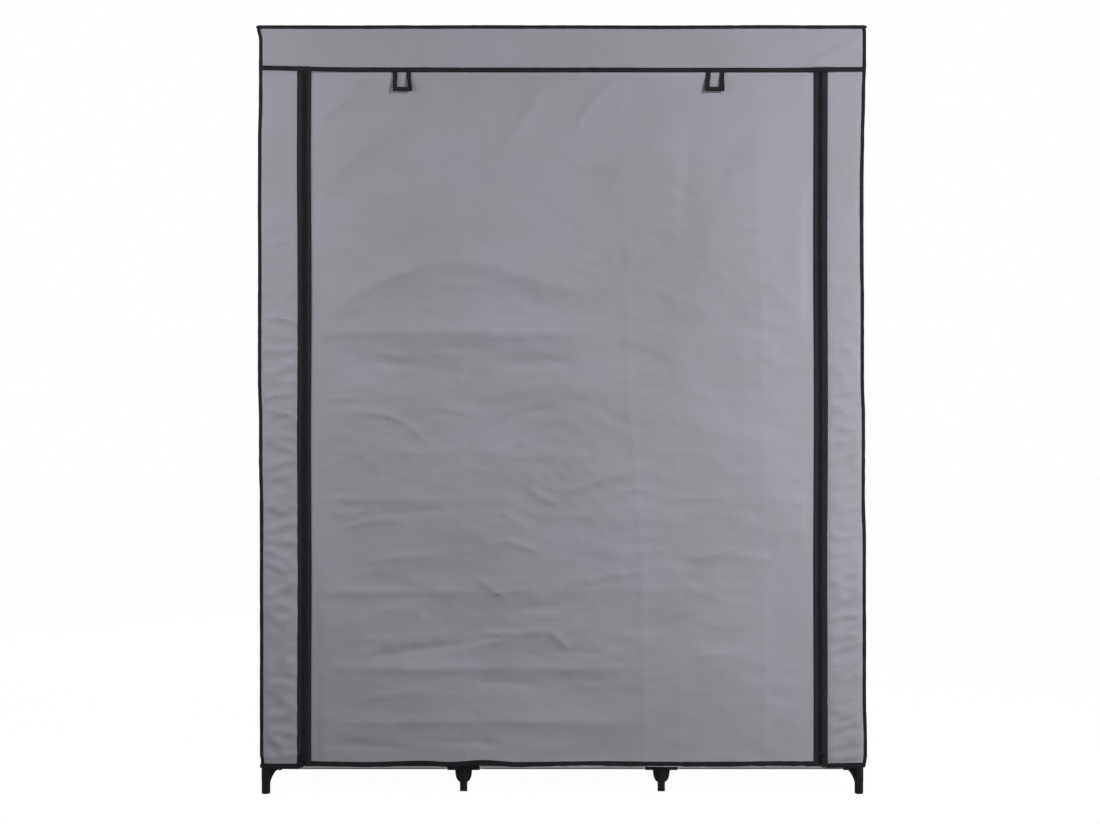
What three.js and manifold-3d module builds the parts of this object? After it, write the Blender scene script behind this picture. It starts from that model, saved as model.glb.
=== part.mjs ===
// A portable fabric wardrobe: a three-bay frame of thin steel tubes in moulded connectors, under a sewn cover
// whose front door is zipped at both sides and hangs from the seam below the front band.
// Millimetres, +Z up. The origin is on the floor in the middle of the frame, and the front faces -Y.

import * as THREE from "three";
import { mergeVertices } from "three/addons/utils/BufferGeometryUtils.js";
import Module from "manifold-3d";

const wasm = await Module();
wasm.setup();

// Frame: driving dimensions
const bayWidth = 438;
const frameDepth = 424;
const coverHeight = 1700;
const bottomRailHeight = 62;
const tubeRadius = 8;
const tubeWall = 0.7;
const columnNames = ["left", "mid_left", "mid_right", "right"];
const rowNames = ["front", "rear"];

// Fits: touching pieces keep touchGap, tubes slide into sockets with socketClearance
const touchGap = 0.3;
const socketClearance = 0.3;
const cutOverrun = 2;

// Connectors and feet
const socketWall = 1.7;
const armLength = 36;
const socketFloor = 2.7;
const footRadius = 9.2;
const footChamfer = 1.4;
const footTaperHeight = 6;
const cornerStubHeight = 25;
const cornerGussetReach = 22.4;
const cornerGussetWaist = 15;
const cornerWaistShare = 0.5;
const middleFootLift = 5;
const middleStubHeight = 21;
const middleFootRadius = 8.1;
const middleGussetReach = 18.5;
const middleWaistShare = 0.8;
const gussetThickness = 7;

// Shelves in the left bay, the base shelf and the hanging rail
const shelfHeights = [604, 1146];
const shelfSag = 5;
const collarReach = 20;
const shelfArmLength = 30;
const shelfEndGap = 3;
const clipGap = 6;
const clipInset = 1;
const clipWebThickness = 8;
const clipWebWidth = 14;

// Cover: cloth, bindings, band, side strips and hems
const clothThickness = 1.2;
const bindingRise = 0.9;
const bindingStep = 1.5;
const topBindingWidth = 7.4;
const sideBindingWidth = 6;
const hemBindingWidth = 9.5;
const bandHeight = 101.5;
const doorHemHeight = 63;
const stripHemHeight = 60;
const backHemHeight = 60;

// Zips
const zipInset = 97.8;
const tapeWidth = 14.6;
const tapeThickness = 1.1;
const coilWidth = 3;
const coilThickness = 2.6;

// Zip sliders and pulls
const sliderWidth = 8;
const sliderHeight = 13;
const sliderPlate = 1.1;
const sliderWeb = 1;
const sliderRest = 20;
const lugMargin = 0.9;
const lugWidth = 3;
const lugHeight = 5;
const pinRadius = 0.7;
const pullWidth = 6.4;
const pullLength = 24;
const pullThickness = 1.4;
const pullEyeRadius = 1;
const pullEyeWall = 0.7;
const pullNeck = 2.6;

// Loops that hold the rolled door
const loopCentres = [-353, 336];
const loopWidth = 39;
const loopDrop = 45;
const loopFlare = 2;
const loopTape = 9;
const loopThickness = 1.6;
const loopStandOffDegrees = 6;

// Grid of the cloth panels: cells across and up, chosen so that the main folds show
const roundSegments = 12;
const curveSegments = 10;
const gussetSegments = 4;
const doorCells = [16, 22];
const backCells = [8, 8];
const sideCells = [4, 8];
const stripCells = [2, 8];
const bandCells = [1, 1];
const roofCells = [12, 4];

// Worked-out sizes
const tubeBore = tubeRadius - tubeWall;
const socketRadius = tubeRadius + socketClearance;
const connectorRadius = socketRadius + socketWall;
const socketStop = socketRadius + socketFloor;
const hangingDrop = 2 * connectorRadius + clipGap;
const clipLength = 2 * (connectorRadius - clipInset);
const bayCount = columnNames.length - 1;
const columnX = columnNames.map((_, i) => (i - bayCount / 2) * bayWidth);
const rowY = [-frameDepth / 2, frameDepth / 2];
const frameHalf = columnX[bayCount];
const topRailHeight = coverHeight - clothThickness - touchGap - connectorRadius;
const coverInnerX = frameHalf + connectorRadius + touchGap;
const coverInnerY = frameDepth / 2 + connectorRadius + touchGap;
const coverHalfWidth = coverInnerX + clothThickness;
const coverHalfDepth = coverInnerY + clothThickness;
const coverTop = coverHeight - clothThickness - touchGap;
const bandBottom = coverTop - bandHeight;
const stripTop = bandBottom - touchGap;
const doorTop = bandBottom - clothThickness / 2 - touchGap;
const zipX = coverHalfWidth - zipInset;
const coilSplit = sliderWeb + 2 * touchGap;
const tapeEdge = coilSplit / 2 + tapeWidth;
const zipBack = coverHalfDepth + touchGap;
const doorHalfWidth = zipX - tapeEdge - touchGap;
const stripInner = zipX + tapeEdge + touchGap;

// What stands proud of the door begins this far below its top edge, so that it clears the band as the door lifts
const seamDrop = clothThickness / 2 + bindingRise + 3 * touchGap;

// Finishes
const finishes = {
  cloth: { color: 0x918e94, roughness: 0.95, metalness: 0 },
  tube: { color: 0x9c9da0, roughness: 0.4, metalness: 0.7 },
  plastic: { color: 0x1d1b1f, roughness: 0.6, metalness: 0 },
  tape: { color: 0x211f24, roughness: 0.85, metalness: 0 },
  slider: { color: 0x26242a, roughness: 0.4, metalness: 0.6 },
};

const wardrobe = new THREE.Group();

function addPiece(name, geometry, finish, place = [0, 0, 0], turn = [0, 0, 0]) {
  const mesh = new THREE.Mesh(geometry, new THREE.MeshStandardMaterial(finishes[finish]));
  mesh.name = name;
  mesh.position.set(...place);
  mesh.rotation.set(...turn);
  wardrobe.add(mesh);
  return mesh;
}

// Solids: a geometry made fit for joining and cutting, and back again
function toSolid(geometry) {
  const bare = geometry.clone();
  bare.deleteAttribute("normal");
  bare.deleteAttribute("uv");
  const merged = mergeVertices(bare);
  return new wasm.Manifold(
    new wasm.Mesh({
      numProp: 3,
      vertProperties: new Float32Array(merged.attributes.position.array),
      triVerts: new Uint32Array(merged.index.array),
    }),
  );
}

function toGeometry(solid) {
  const mesh = solid.getMesh();
  const geometry = new THREE.BufferGeometry();
  geometry.setAttribute("position", new THREE.BufferAttribute(mesh.vertProperties, 3));
  geometry.setIndex(new THREE.BufferAttribute(mesh.triVerts, 1));
  const flat = geometry.toNonIndexed();
  flat.computeVertexNormals();
  return flat;
}

function joined(geometries, cuts = []) {
  let solid = toSolid(geometries[0]);
  for (const geometry of geometries.slice(1)) solid = solid.add(toSolid(geometry));
  for (const cut of cuts) solid = solid.subtract(toSolid(cut));
  return toGeometry(solid);
}

// Round bars and tubes along X, Y or Z
const alongAxis = {
  x: (geometry) => geometry.rotateZ(-Math.PI / 2),
  y: (geometry) => geometry,
  z: (geometry) => geometry.rotateX(Math.PI / 2),
};

function bar(axis, radius, start, end) {
  const geometry = new THREE.CylinderGeometry(radius, radius, end - start, roundSegments);
  return alongAxis[axis](geometry.translate(0, (start + end) / 2, 0));
}

function tube(axis, start, end) {
  const profile = [
    new THREE.Vector2(tubeBore, start),
    new THREE.Vector2(tubeRadius, start),
    new THREE.Vector2(tubeRadius, end),
    new THREE.Vector2(tubeBore, end),
    new THREE.Vector2(tubeBore, start),
  ];
  return alongAxis[axis](new THREE.LatheGeometry(profile, roundSegments));
}

// Connectors: sleeves from the crossing of the tubes, each with a socket that stops short of the crossing.
// Where a long rail runs through, its bore goes from one side to the other.
function sleeve(axis, sign) {
  return sign > 0 ? bar(axis, connectorRadius, 0, armLength) : bar(axis, connectorRadius, -armLength, 0);
}

function socket(axis, sign) {
  const end = armLength + cutOverrun;
  return sign > 0 ? bar(axis, socketRadius, socketStop, end) : bar(axis, socketRadius, -end, -socketStop);
}

function railBores(xSigns) {
  const end = armLength + cutOverrun;
  return xSigns.length > 1 ? [bar("x", socketRadius, -end, end)] : [socket("x", xSigns[0])];
}

// The outlines of the two kinds of foot: the leg's radius, and how far out and how far down its gussets swell
const footKinds = {
  corner: {
    radius: footRadius,
    bottom: -bottomRailHeight,
    stubHeight: cornerStubHeight,
    reach: cornerGussetReach,
    waist: cornerGussetWaist,
    waistShare: cornerWaistShare,
  },
  middle: {
    radius: middleFootRadius,
    bottom: middleFootLift - bottomRailHeight,
    stubHeight: middleStubHeight,
    reach: middleGussetReach,
    waist: middleGussetReach,
    waistShare: middleWaistShare,
  },
};

// A flat gusset below an arm, whose free edge curves from under the arm to the leg
function gusset(axis, sign, { radius, bottom, stubHeight, reach, waist, waistShare }) {
  const legTop = bottom + stubHeight;
  const underArm = -connectorRadius;
  const outline = new THREE.Shape();
  outline.moveTo(0, 0);
  outline.lineTo(reach, 0);
  outline.lineTo(reach, underArm);
  outline.quadraticCurveTo(waist, underArm + waistShare * (legTop - underArm), radius, legTop);
  outline.lineTo(0, legTop);
  const plate = new THREE.ExtrudeGeometry(outline, {
    depth: gussetThickness,
    bevelEnabled: false,
    curveSegments: gussetSegments,
  });
  plate.translate(0, 0, -gussetThickness / 2).rotateX(Math.PI / 2);
  const turns = { x: sign > 0 ? 0 : Math.PI, y: (sign * Math.PI) / 2 };
  return plate.rotateZ(turns[axis]);
}

// The leg under a foot connector, turned from the floor up to the top of the post's sleeve
function leg({ radius, bottom, stubHeight }) {
  const legTop = bottom + stubHeight;
  const outline = [
    new THREE.Vector2(0, bottom),
    new THREE.Vector2(radius - footChamfer, bottom),
    new THREE.Vector2(radius, bottom + footChamfer),
    new THREE.Vector2(radius, legTop),
    new THREE.Vector2(connectorRadius, legTop + footTaperHeight),
    new THREE.Vector2(connectorRadius, armLength),
    new THREE.Vector2(0, armLength),
  ];
  return alongAxis.z(new THREE.LatheGeometry(outline, roundSegments));
}

function footConnector(xSigns, ySign) {
  const kind = xSigns.length > 1 ? footKinds.middle : footKinds.corner;
  const bodies = [leg(kind), sleeve("y", ySign), gusset("y", ySign, kind)];
  for (const sign of xSigns) bodies.push(sleeve("x", sign), gusset("x", sign, kind));
  return joined(bodies, [...railBores(xSigns), socket("y", ySign), socket("z", 1)]);
}

function topConnector(xSigns, ySign) {
  const bodies = [bar("z", connectorRadius, -armLength, connectorRadius), sleeve("y", ySign)];
  for (const sign of xSigns) bodies.push(sleeve("x", sign));
  return joined(bodies, [...railBores(xSigns), socket("y", ySign), socket("z", -1)]);
}

// Columns: a foot, a post and a top connector at each crossing of the four columns and two rows
const tubeEnd = socketStop + touchGap;

columnNames.forEach((column, i) => {
  const xSigns = i === 0 ? [1] : i === bayCount ? [-1] : [-1, 1];
  rowNames.forEach((row, j) => {
    const ySign = j === 0 ? 1 : -1;
    const label = `${row}_${column}`;
    addPiece(`foot_${label}`, footConnector(xSigns, ySign), "plastic", [columnX[i], rowY[j], bottomRailHeight]);
    addPiece(`top_connector_${label}`, topConnector(xSigns, ySign), "plastic", [columnX[i], rowY[j], topRailHeight]);
    const post = tube("z", bottomRailHeight + tubeEnd, topRailHeight - tubeEnd);
    addPiece(`post_${label}`, post, "tube", [columnX[i], rowY[j], 0]);
  });
});

// Long rails: the three lengths of each rail butt inside the middle connectors and are one piece here
const railHeights = { bottom: bottomRailHeight, top: topRailHeight };

for (const [level, height] of Object.entries(railHeights)) {
  rowNames.forEach((row, j) => {
    const rail = tube("x", -frameHalf + tubeEnd, frameHalf - tubeEnd);
    addPiece(`${level}_${row}_rail`, rail, "tube", [0, rowY[j], height]);
  });
}

// Depth rails: the top ones over the hanging bays carry a moulded clip that holds the hanging rail below them
function hangingClip() {
  const web = new THREE.BoxGeometry(clipWebWidth, clipWebThickness, hangingDrop);
  return joined(
    [
      tube("y", rowY[0] + tubeEnd, rowY[1] - tubeEnd),
      bar("y", connectorRadius, -clipLength / 2, clipLength / 2),
      web.translate(0, 0, -hangingDrop / 2),
      bar("x", connectorRadius, -clipLength / 2, clipLength / 2).translate(0, 0, -hangingDrop),
    ],
    [
      bar("y", tubeBore, rowY[0], rowY[1]),
      bar("x", socketRadius, -clipLength, clipLength).translate(0, 0, -hangingDrop),
    ],
  );
}

columnNames.forEach((column, i) => {
  const plainRail = tube("y", rowY[0] + tubeEnd, rowY[1] - tubeEnd);
  addPiece(`bottom_depth_rail_${column}`, plainRail, "tube", [columnX[i], 0, bottomRailHeight]);
  const topRail = i === 0 ? plainRail.clone() : hangingClip();
  addPiece(`top_depth_rail_${column}`, topRail, "tube", [columnX[i], 0, topRailHeight]);
});

const hangingRail = tube("x", columnX[1] - clipLength / 2, frameHalf + clipLength / 2 - touchGap);
addPiece("hanging_rail", hangingRail, "tube", [0, 0, topRailHeight - hangingDrop]);

// Shelf frames in the left bay: two rails and two depth rails in four collars that grip the posts, as one piece
function shelfFrame() {
  const xs = [columnX[0], columnX[1]];
  const bodies = [];
  const cuts = [];
  xs.forEach((x, i) => {
    const inward = i === 0 ? 1 : -1;
    rowY.forEach((y, j) => {
      const inwardY = j === 0 ? 1 : -1;
      const armX = [0, inward * shelfArmLength].sort((a, b) => a - b);
      const armY = [0, inwardY * shelfArmLength].sort((a, b) => a - b);
      bodies.push(bar("z", connectorRadius, -collarReach, collarReach).translate(x, y, 0));
      bodies.push(bar("x", connectorRadius, ...armX).translate(x, y, 0));
      bodies.push(bar("y", connectorRadius, ...armY).translate(x, y, 0));
    });
  });
  for (const y of rowY) {
    bodies.push(bar("x", tubeRadius, ...xs).translate(0, y, 0));
    cuts.push(bar("x", tubeBore, ...xs).translate(0, y, 0));
  }
  for (const x of xs) {
    bodies.push(bar("y", tubeRadius, ...rowY).translate(x, 0, 0));
    cuts.push(bar("y", tubeBore, ...rowY).translate(x, 0, 0));
    const postHole = bar("z", socketRadius, -collarReach - cutOverrun, collarReach + cutOverrun);
    for (const y of rowY) cuts.push(postHole.clone().translate(x, y, 0));
  }
  return joined(bodies, cuts);
}

// A hole round a rail, with its corners where the rail's own are
function roundHole(y) {
  const points = [];
  for (let i = 0; i < roundSegments; i += 1) {
    const angle = (2 * Math.PI * i) / roundSegments;
    points.push(new THREE.Vector2(y + socketRadius * Math.cos(angle), socketRadius * Math.sin(angle)));
  }
  return new THREE.Path(points);
}

// A cloth shelf: a sheet sewn into a sleeve round the front rail and another round the rear rail
function clothShelf(start, end, sag) {
  const outer = socketRadius + clothThickness;
  const underside = outer - clothThickness;
  const meetAngle = Math.asin(underside / outer);
  const meetY = rowY[1] - outer * Math.cos(meetAngle);
  const outline = new THREE.Shape();
  outline.moveTo(rowY[0], outer);
  if (sag > 0) outline.quadraticCurveTo(0, outer - sag, rowY[1], outer);
  outline.absarc(rowY[1], 0, outer, Math.PI / 2, -Math.PI - meetAngle, true);
  if (sag > 0) outline.quadraticCurveTo(0, underside - sag, -meetY, underside);
  outline.absarc(rowY[0], 0, outer, meetAngle, (-3 / 2) * Math.PI, true);
  for (const y of rowY) outline.holes.push(roundHole(y));
  const sheet = new THREE.ExtrudeGeometry(outline, {
    depth: end - start,
    bevelEnabled: false,
    curveSegments,
  });
  return sheet.rotateX(Math.PI / 2).rotateZ(Math.PI / 2).translate(start, 0, 0);
}

// The base shelf: one cloth shelf in each bay, joined between the connectors into a single sheet
function baseShelf() {
  const reach = armLength + shelfEndGap;
  const sheets = columnX.slice(1).map((x, i) => clothShelf(columnX[i] + reach, x - reach, 0));
  const bridgeDepth = frameDepth - 2 * reach;
  for (const x of columnX.slice(1, -1)) {
    const bridge = new THREE.BoxGeometry(2 * reach + cutOverrun, bridgeDepth, clothThickness);
    sheets.push(bridge.translate(x, 0, socketRadius + clothThickness / 2));
  }
  return joined(sheets);
}

addPiece("base_shelf", baseShelf(), "cloth", [0, 0, bottomRailHeight]);

const shelfReach = shelfArmLength + shelfEndGap;
shelfHeights.forEach((height, i) => {
  const shelf = clothShelf(columnX[0] + shelfReach, columnX[1] - shelfReach, shelfSag);
  addPiece(`shelf_frame_${i + 1}`, shelfFrame(), "tube", [0, 0, height]);
  addPiece(`shelf_${i + 1}`, shelf, "cloth", [0, 0, height]);
});

// Cloth panels: a grid of cells with bound edges. Across is the panel's own X and up its own Y, and its outer
// face looks along its own Z. A fold lifts both faces of the cloth, and a binding only thickens the outer face.
function gridLines(length, cells, startBinding, endBinding) {
  const first = startBinding > 0 ? startBinding + bindingStep : 0;
  const last = endBinding > 0 ? length - endBinding - bindingStep : length;
  const lines = startBinding > 0 ? [0, startBinding] : [];
  for (let i = 0; i <= cells; i += 1) lines.push(first + ((last - first) * i) / cells);
  if (endBinding > 0) lines.push(length - endBinding, length);
  return lines;
}

function clothPanel({ width, height, cells, bindings = {}, fold = () => 0, hem = () => 0 }) {
  const { left = 0, right = 0, bottom = 0, top = 0 } = bindings;
  const us = gridLines(width, cells[0], left, right);
  const vs = gridLines(height, cells[1], bottom, top);
  const inBinding = (fromEdge, binding) => binding > 0 && fromEdge <= binding;
  const isBound = (u, v) =>
    inBinding(u, left) || inBinding(width - u, right) || inBinding(v, bottom) || inBinding(height - v, top);
  const positions = [];
  const place = (u, v, w) => {
    const drop = hem(u / width) * (1 - v / height);
    positions.push(u - width / 2, v + drop, w);
  };
  for (const v of vs) {
    for (const u of us) {
      const lift = fold(u / width, v / height);
      place(u, v, lift + (isBound(u, v) ? bindingRise : 0));
    }
  }
  for (const v of vs) for (const u of us) place(u, v, fold(u / width, v / height) - clothThickness);
  const across = us.length;
  const behind = us.length * vs.length;
  const index = [];
  const quad = (a, b, c, d) => index.push(a, b, c, a, c, d);
  for (let j = 0; j < vs.length - 1; j += 1) {
    for (let i = 0; i < across - 1; i += 1) {
      const a = j * across + i;
      quad(a, a + 1, a + across + 1, a + across);
      quad(behind + a, behind + a + across, behind + a + across + 1, behind + a + 1);
    }
  }
  for (let i = 0; i < across - 1; i += 1) {
    const t = (vs.length - 1) * across + i;
    quad(behind + i, behind + i + 1, i + 1, i);
    quad(t, t + 1, behind + t + 1, behind + t);
  }
  for (let j = 0; j < vs.length - 1; j += 1) {
    const l = j * across;
    const r = l + across - 1;
    quad(behind + l, l, l + across, behind + l + across);
    quad(r, behind + r, behind + r + across, r + across);
  }
  const geometry = new THREE.BufferGeometry();
  geometry.setAttribute("position", new THREE.BufferAttribute(new Float32Array(positions), 3));
  geometry.setIndex(index);
  const flat = geometry.toNonIndexed();
  flat.computeVertexNormals();
  return flat;
}

// Folds: a soft ridge across a panel, a slack belly between its edges, and the door's own creases.
// Places and widths are shares of the panel, and rises are shares of the highest fold.
const ridge = (place, centreShare, widthShare) => Math.exp(-(((place - centreShare) / widthShare) ** 2));
const belly = (share) => Math.sin(Math.PI * share);

const foldRise = 2.4;
const doorFolds = [
  { riseShare: 1, acrossShare: 0.2, upShare: 0.93, leanShare: 0.35, widthShare: 0.05 },
  { riseShare: 0.67, acrossShare: 0.61, upShare: 0.5, leanShare: 1, widthShare: 0.05 },
  { riseShare: 0.58, acrossShare: 0.88, upShare: 0.6, leanShare: 1, widthShare: 0.06 },
  { riseShare: 0.83, acrossShare: 0.4, upShare: 0.62, leanShare: 0, widthShare: 0.05 },
  { riseShare: 0.92, acrossShare: 0.4, upShare: 0.38, leanShare: 0, widthShare: 0.05 },
  { riseShare: 1, acrossShare: 0.4, upShare: 0.22, leanShare: 0, widthShare: 0.05 },
];
const hemWave = 1.6;
const hemWaves = 4;

// A fold leans from lying level at 0 to standing upright at 1
function doorFold(u, v) {
  const lift = doorFolds.reduce((sum, fold) => {
    const turn = (fold.leanShare * Math.PI) / 2;
    const offset = (u - fold.acrossShare) * Math.sin(turn) - (v - fold.upShare) * Math.cos(turn);
    return sum + foldRise * fold.riseShare * ridge(offset, 0, fold.widthShare);
  }, 0);
  return lift * Math.min(1, 2 * belly(u)) * Math.min(1, 2 * belly(v));
}

const doorHem = (u) => hemWave * Math.sin(hemWaves * Math.PI * u) * belly(u);
const slackFold = (rise) => (u, v) => rise * belly(u) * belly(v);

// Cover: roof, back, sides, front band, the strips beside the zips, and the door
const panelTurns = {
  front: [Math.PI / 2, 0, 0],
  rear: [Math.PI / 2, Math.PI, 0],
  left: [Math.PI / 2, -Math.PI / 2, 0],
  right: [Math.PI / 2, Math.PI / 2, 0],
};
const roofSag = 4;
const backSlack = 5;
const sideSlack = 2;
const bandSlack = 1;

const roofPanel = clothPanel({
  width: 2 * coverHalfWidth,
  height: 2 * coverHalfDepth,
  cells: roofCells,
  fold: (u, v) => -roofSag * Math.abs(Math.sin(bayCount * Math.PI * u)) * belly(v) ** 2,
});
addPiece("roof_panel", roofPanel, "cloth", [0, -coverHalfDepth, coverHeight]);

const backPanel = clothPanel({
  width: 2 * coverHalfWidth,
  height: coverTop - backHemHeight,
  cells: backCells,
  bindings: { left: sideBindingWidth, right: sideBindingWidth, bottom: hemBindingWidth, top: topBindingWidth },
  fold: slackFold(backSlack),
});
addPiece("back_panel", backPanel, "cloth", [0, coverHalfDepth, backHemHeight], panelTurns.rear);

for (const [side, sign] of [["left", -1], ["right", 1]]) {
  const sidePanel = clothPanel({
    width: 2 * (coverInnerY - touchGap),
    height: coverTop - backHemHeight,
    cells: sideCells,
    bindings: { bottom: hemBindingWidth },
    fold: slackFold(sideSlack),
  });
  addPiece(`${side}_side_panel`, sidePanel, "cloth", [sign * coverHalfWidth, 0, backHemHeight], panelTurns[side]);

  const isLeft = sign < 0;
  const sideEdge = isLeft ? "left" : "right";
  const stripPanel = clothPanel({
    width: coverHalfWidth - stripInner,
    height: stripTop - stripHemHeight,
    cells: stripCells,
    bindings: { [sideEdge]: sideBindingWidth, bottom: hemBindingWidth },
    fold: slackFold(bandSlack),
  });
  const stripMiddle = (sign * (coverHalfWidth + stripInner)) / 2;
  const stripPlace = [stripMiddle, -coverHalfDepth, stripHemHeight];
  addPiece(`${side}_front_strip`, stripPanel, "cloth", stripPlace, panelTurns.front);
}

const bandPanel = clothPanel({
  width: 2 * coverHalfWidth,
  height: bandHeight,
  cells: bandCells,
  bindings: { left: sideBindingWidth, right: sideBindingWidth, bottom: hemBindingWidth, top: topBindingWidth },
});
addPiece("front_band", bandPanel, "cloth", [0, -coverHalfDepth, bandBottom], panelTurns.front);

const doorPanel = clothPanel({
  width: 2 * doorHalfWidth,
  height: doorTop - doorHemHeight,
  cells: doorCells,
  bindings: { bottom: hemBindingWidth },
  fold: doorFold,
  hem: doorHem,
});
addPiece("door_panel", doorPanel, "cloth", [0, -coverHalfDepth, doorHemHeight], panelTurns.front);

// Zip tapes: a flat tape with the coil as a bead on its inner edge. The two coils stand coilSplit apart,
// which leaves room for the web of the slider.
function zipTape(sign, length) {
  const inner = (sign * coilSplit) / 2;
  const coilOuter = inner + sign * coilWidth;
  const outer = inner + sign * tapeWidth;
  const outline = new THREE.Shape();
  outline.moveTo(inner, 0);
  outline.lineTo(inner, -coilThickness);
  outline.lineTo(coilOuter, -coilThickness);
  outline.lineTo(coilOuter, -tapeThickness);
  outline.lineTo(outer, -tapeThickness);
  outline.lineTo(outer, 0);
  outline.closePath();
  return new THREE.ExtrudeGeometry(outline, { depth: length, bevelEnabled: false });
}

for (const [side, sign] of [["left", -1], ["right", 1]]) {
  const place = [sign * zipX, -zipBack];
  const doorTape = zipTape(-sign, doorTop - seamDrop - doorHemHeight);
  addPiece(`${side}_zip_door_tape`, doorTape, "tape", [...place, doorHemHeight]);
  const fixedTape = zipTape(sign, stripTop - stripHemHeight);
  addPiece(`${side}_zip_fixed_tape`, fixedTape, "tape", [...place, stripHemHeight]);
}

// Zip sliders: a front plate and a back plate on a web that runs between the coils, with a lug for the pull.
// The web is on the slider's inner side, so the slider wraps the coil of the fixed tape.
const sliderFront = coilThickness + touchGap + sliderPlate;
const sliderBack = touchGap + sliderPlate;
const eyeOuter = pullEyeRadius + pullEyeWall;
const pinReach = eyeOuter + touchGap;
const lugReach = pinReach + pinRadius + lugMargin;

function zipSlider(sign) {
  const inner = (-sign * sliderWeb) / 2;
  const outer = inner + sign * sliderWidth;
  const plates = new THREE.Shape();
  plates.moveTo(inner, sliderBack);
  plates.lineTo(outer, sliderBack);
  plates.lineTo(outer, touchGap);
  plates.lineTo(-inner, touchGap);
  plates.lineTo(-inner, sliderPlate - sliderFront);
  plates.lineTo(outer, sliderPlate - sliderFront);
  plates.lineTo(outer, -sliderFront);
  plates.lineTo(inner, -sliderFront);
  plates.closePath();
  const body = new THREE.ExtrudeGeometry(plates, { depth: sliderHeight, bevelEnabled: false });
  const lug = new THREE.BoxGeometry(lugWidth, lugReach + sliderPlate, lugHeight);
  const lugX = (inner + outer) / 2;
  lug.translate(lugX, -sliderFront - (lugReach - sliderPlate) / 2, sliderHeight - lugHeight / 2);
  const pinY = -sliderFront - pinReach;
  const pin = bar("x", pinRadius, -pullWidth / 2, pullWidth / 2);
  return joined([body, lug, pin.translate(lugX, pinY, sliderHeight - lugHeight / 2)]);
}

// Pulls: a fork whose two eyes sit on the slider's pin, and a tab that hangs below it
function zipPull() {
  const forkDrop = lugHeight / 2 + touchGap + pinRadius;
  const inner = lugWidth / 2 + touchGap;
  const outer = inner + pullThickness;
  const bodies = [];
  for (const sign of [-1, 1]) {
    const eye = bar("x", eyeOuter, inner, outer);
    const arm = new THREE.BoxGeometry(pullThickness, pullThickness, forkDrop);
    arm.translate((inner + outer) / 2, 0, -forkDrop / 2);
    bodies.push(...[eye, arm].map((piece) => (sign < 0 ? piece.translate(-inner - outer, 0, 0) : piece)));
  }
  const bridge = new THREE.BoxGeometry(2 * outer, pullThickness, pullNeck);
  bodies.push(bridge.translate(0, 0, -forkDrop - pullNeck / 2));
  const tabLength = pullLength - forkDrop;
  const tab = new THREE.BoxGeometry(pullWidth, pullThickness, tabLength);
  bodies.push(tab.translate(0, 0, -forkDrop - tabLength / 2));
  const bore = bar("x", pullEyeRadius, -outer - cutOverrun, outer + cutOverrun);
  return joined(bodies, [bore]);
}

for (const [side, sign] of [["left", -1], ["right", 1]]) {
  const sliderX = sign * zipX;
  const sliderZ = stripHemHeight + sliderRest;
  addPiece(`${side}_zip_slider`, zipSlider(sign), "slider", [sliderX, -zipBack, sliderZ]);
  const lugX = sliderX + (sign * (sliderWidth - sliderWeb)) / 2;
  const pinY = -zipBack - sliderFront - pinReach;
  addPiece(`${side}_zip_pull`, zipPull(), "slider", [lugX, pinY, sliderZ + sliderHeight - lugHeight / 2]);
}

// Loops: folded tape sewn into the band's seam, hanging a little proud of the door
function doorLoop() {
  const half = loopWidth / 2;
  const outline = new THREE.Shape();
  outline.moveTo(-half, 0);
  outline.lineTo(-half - loopFlare, -loopDrop);
  outline.lineTo(half + loopFlare, -loopDrop);
  outline.lineTo(half, 0);
  outline.lineTo(half - loopTape, 0);
  outline.lineTo(half + loopFlare - loopTape, loopTape - loopDrop);
  outline.lineTo(loopTape - half - loopFlare, loopTape - loopDrop);
  outline.lineTo(loopTape - half, 0);
  outline.closePath();
  const tape = new THREE.ExtrudeGeometry(outline, { depth: loopThickness, bevelEnabled: false });
  return tape.translate(0, 0, -loopThickness / 2);
}

const loopTurn = [Math.PI / 2 - THREE.MathUtils.degToRad(loopStandOffDegrees), 0, 0];
const loopY = -coverHalfDepth - touchGap - loopThickness / 2;
const loopZ = doorTop - seamDrop - loopThickness / 2;
["left", "right"].forEach((side, i) => {
  addPiece(`${side}_door_loop`, doorLoop(), "tape", [loopCentres[i], loopY, loopZ], loopTurn);
});

export default wardrobe;
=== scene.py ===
# A portable fabric wardrobe: a sewn cover of grey non-woven cloth with black bindings, zips and loops, over a
# three-bay frame of steel tubes in moulded connectors. Metres, +Z up, the front faces -Y and left is -X.
import math

import bmesh
import bpy
from mathutils import Matrix, Vector, noise


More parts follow.
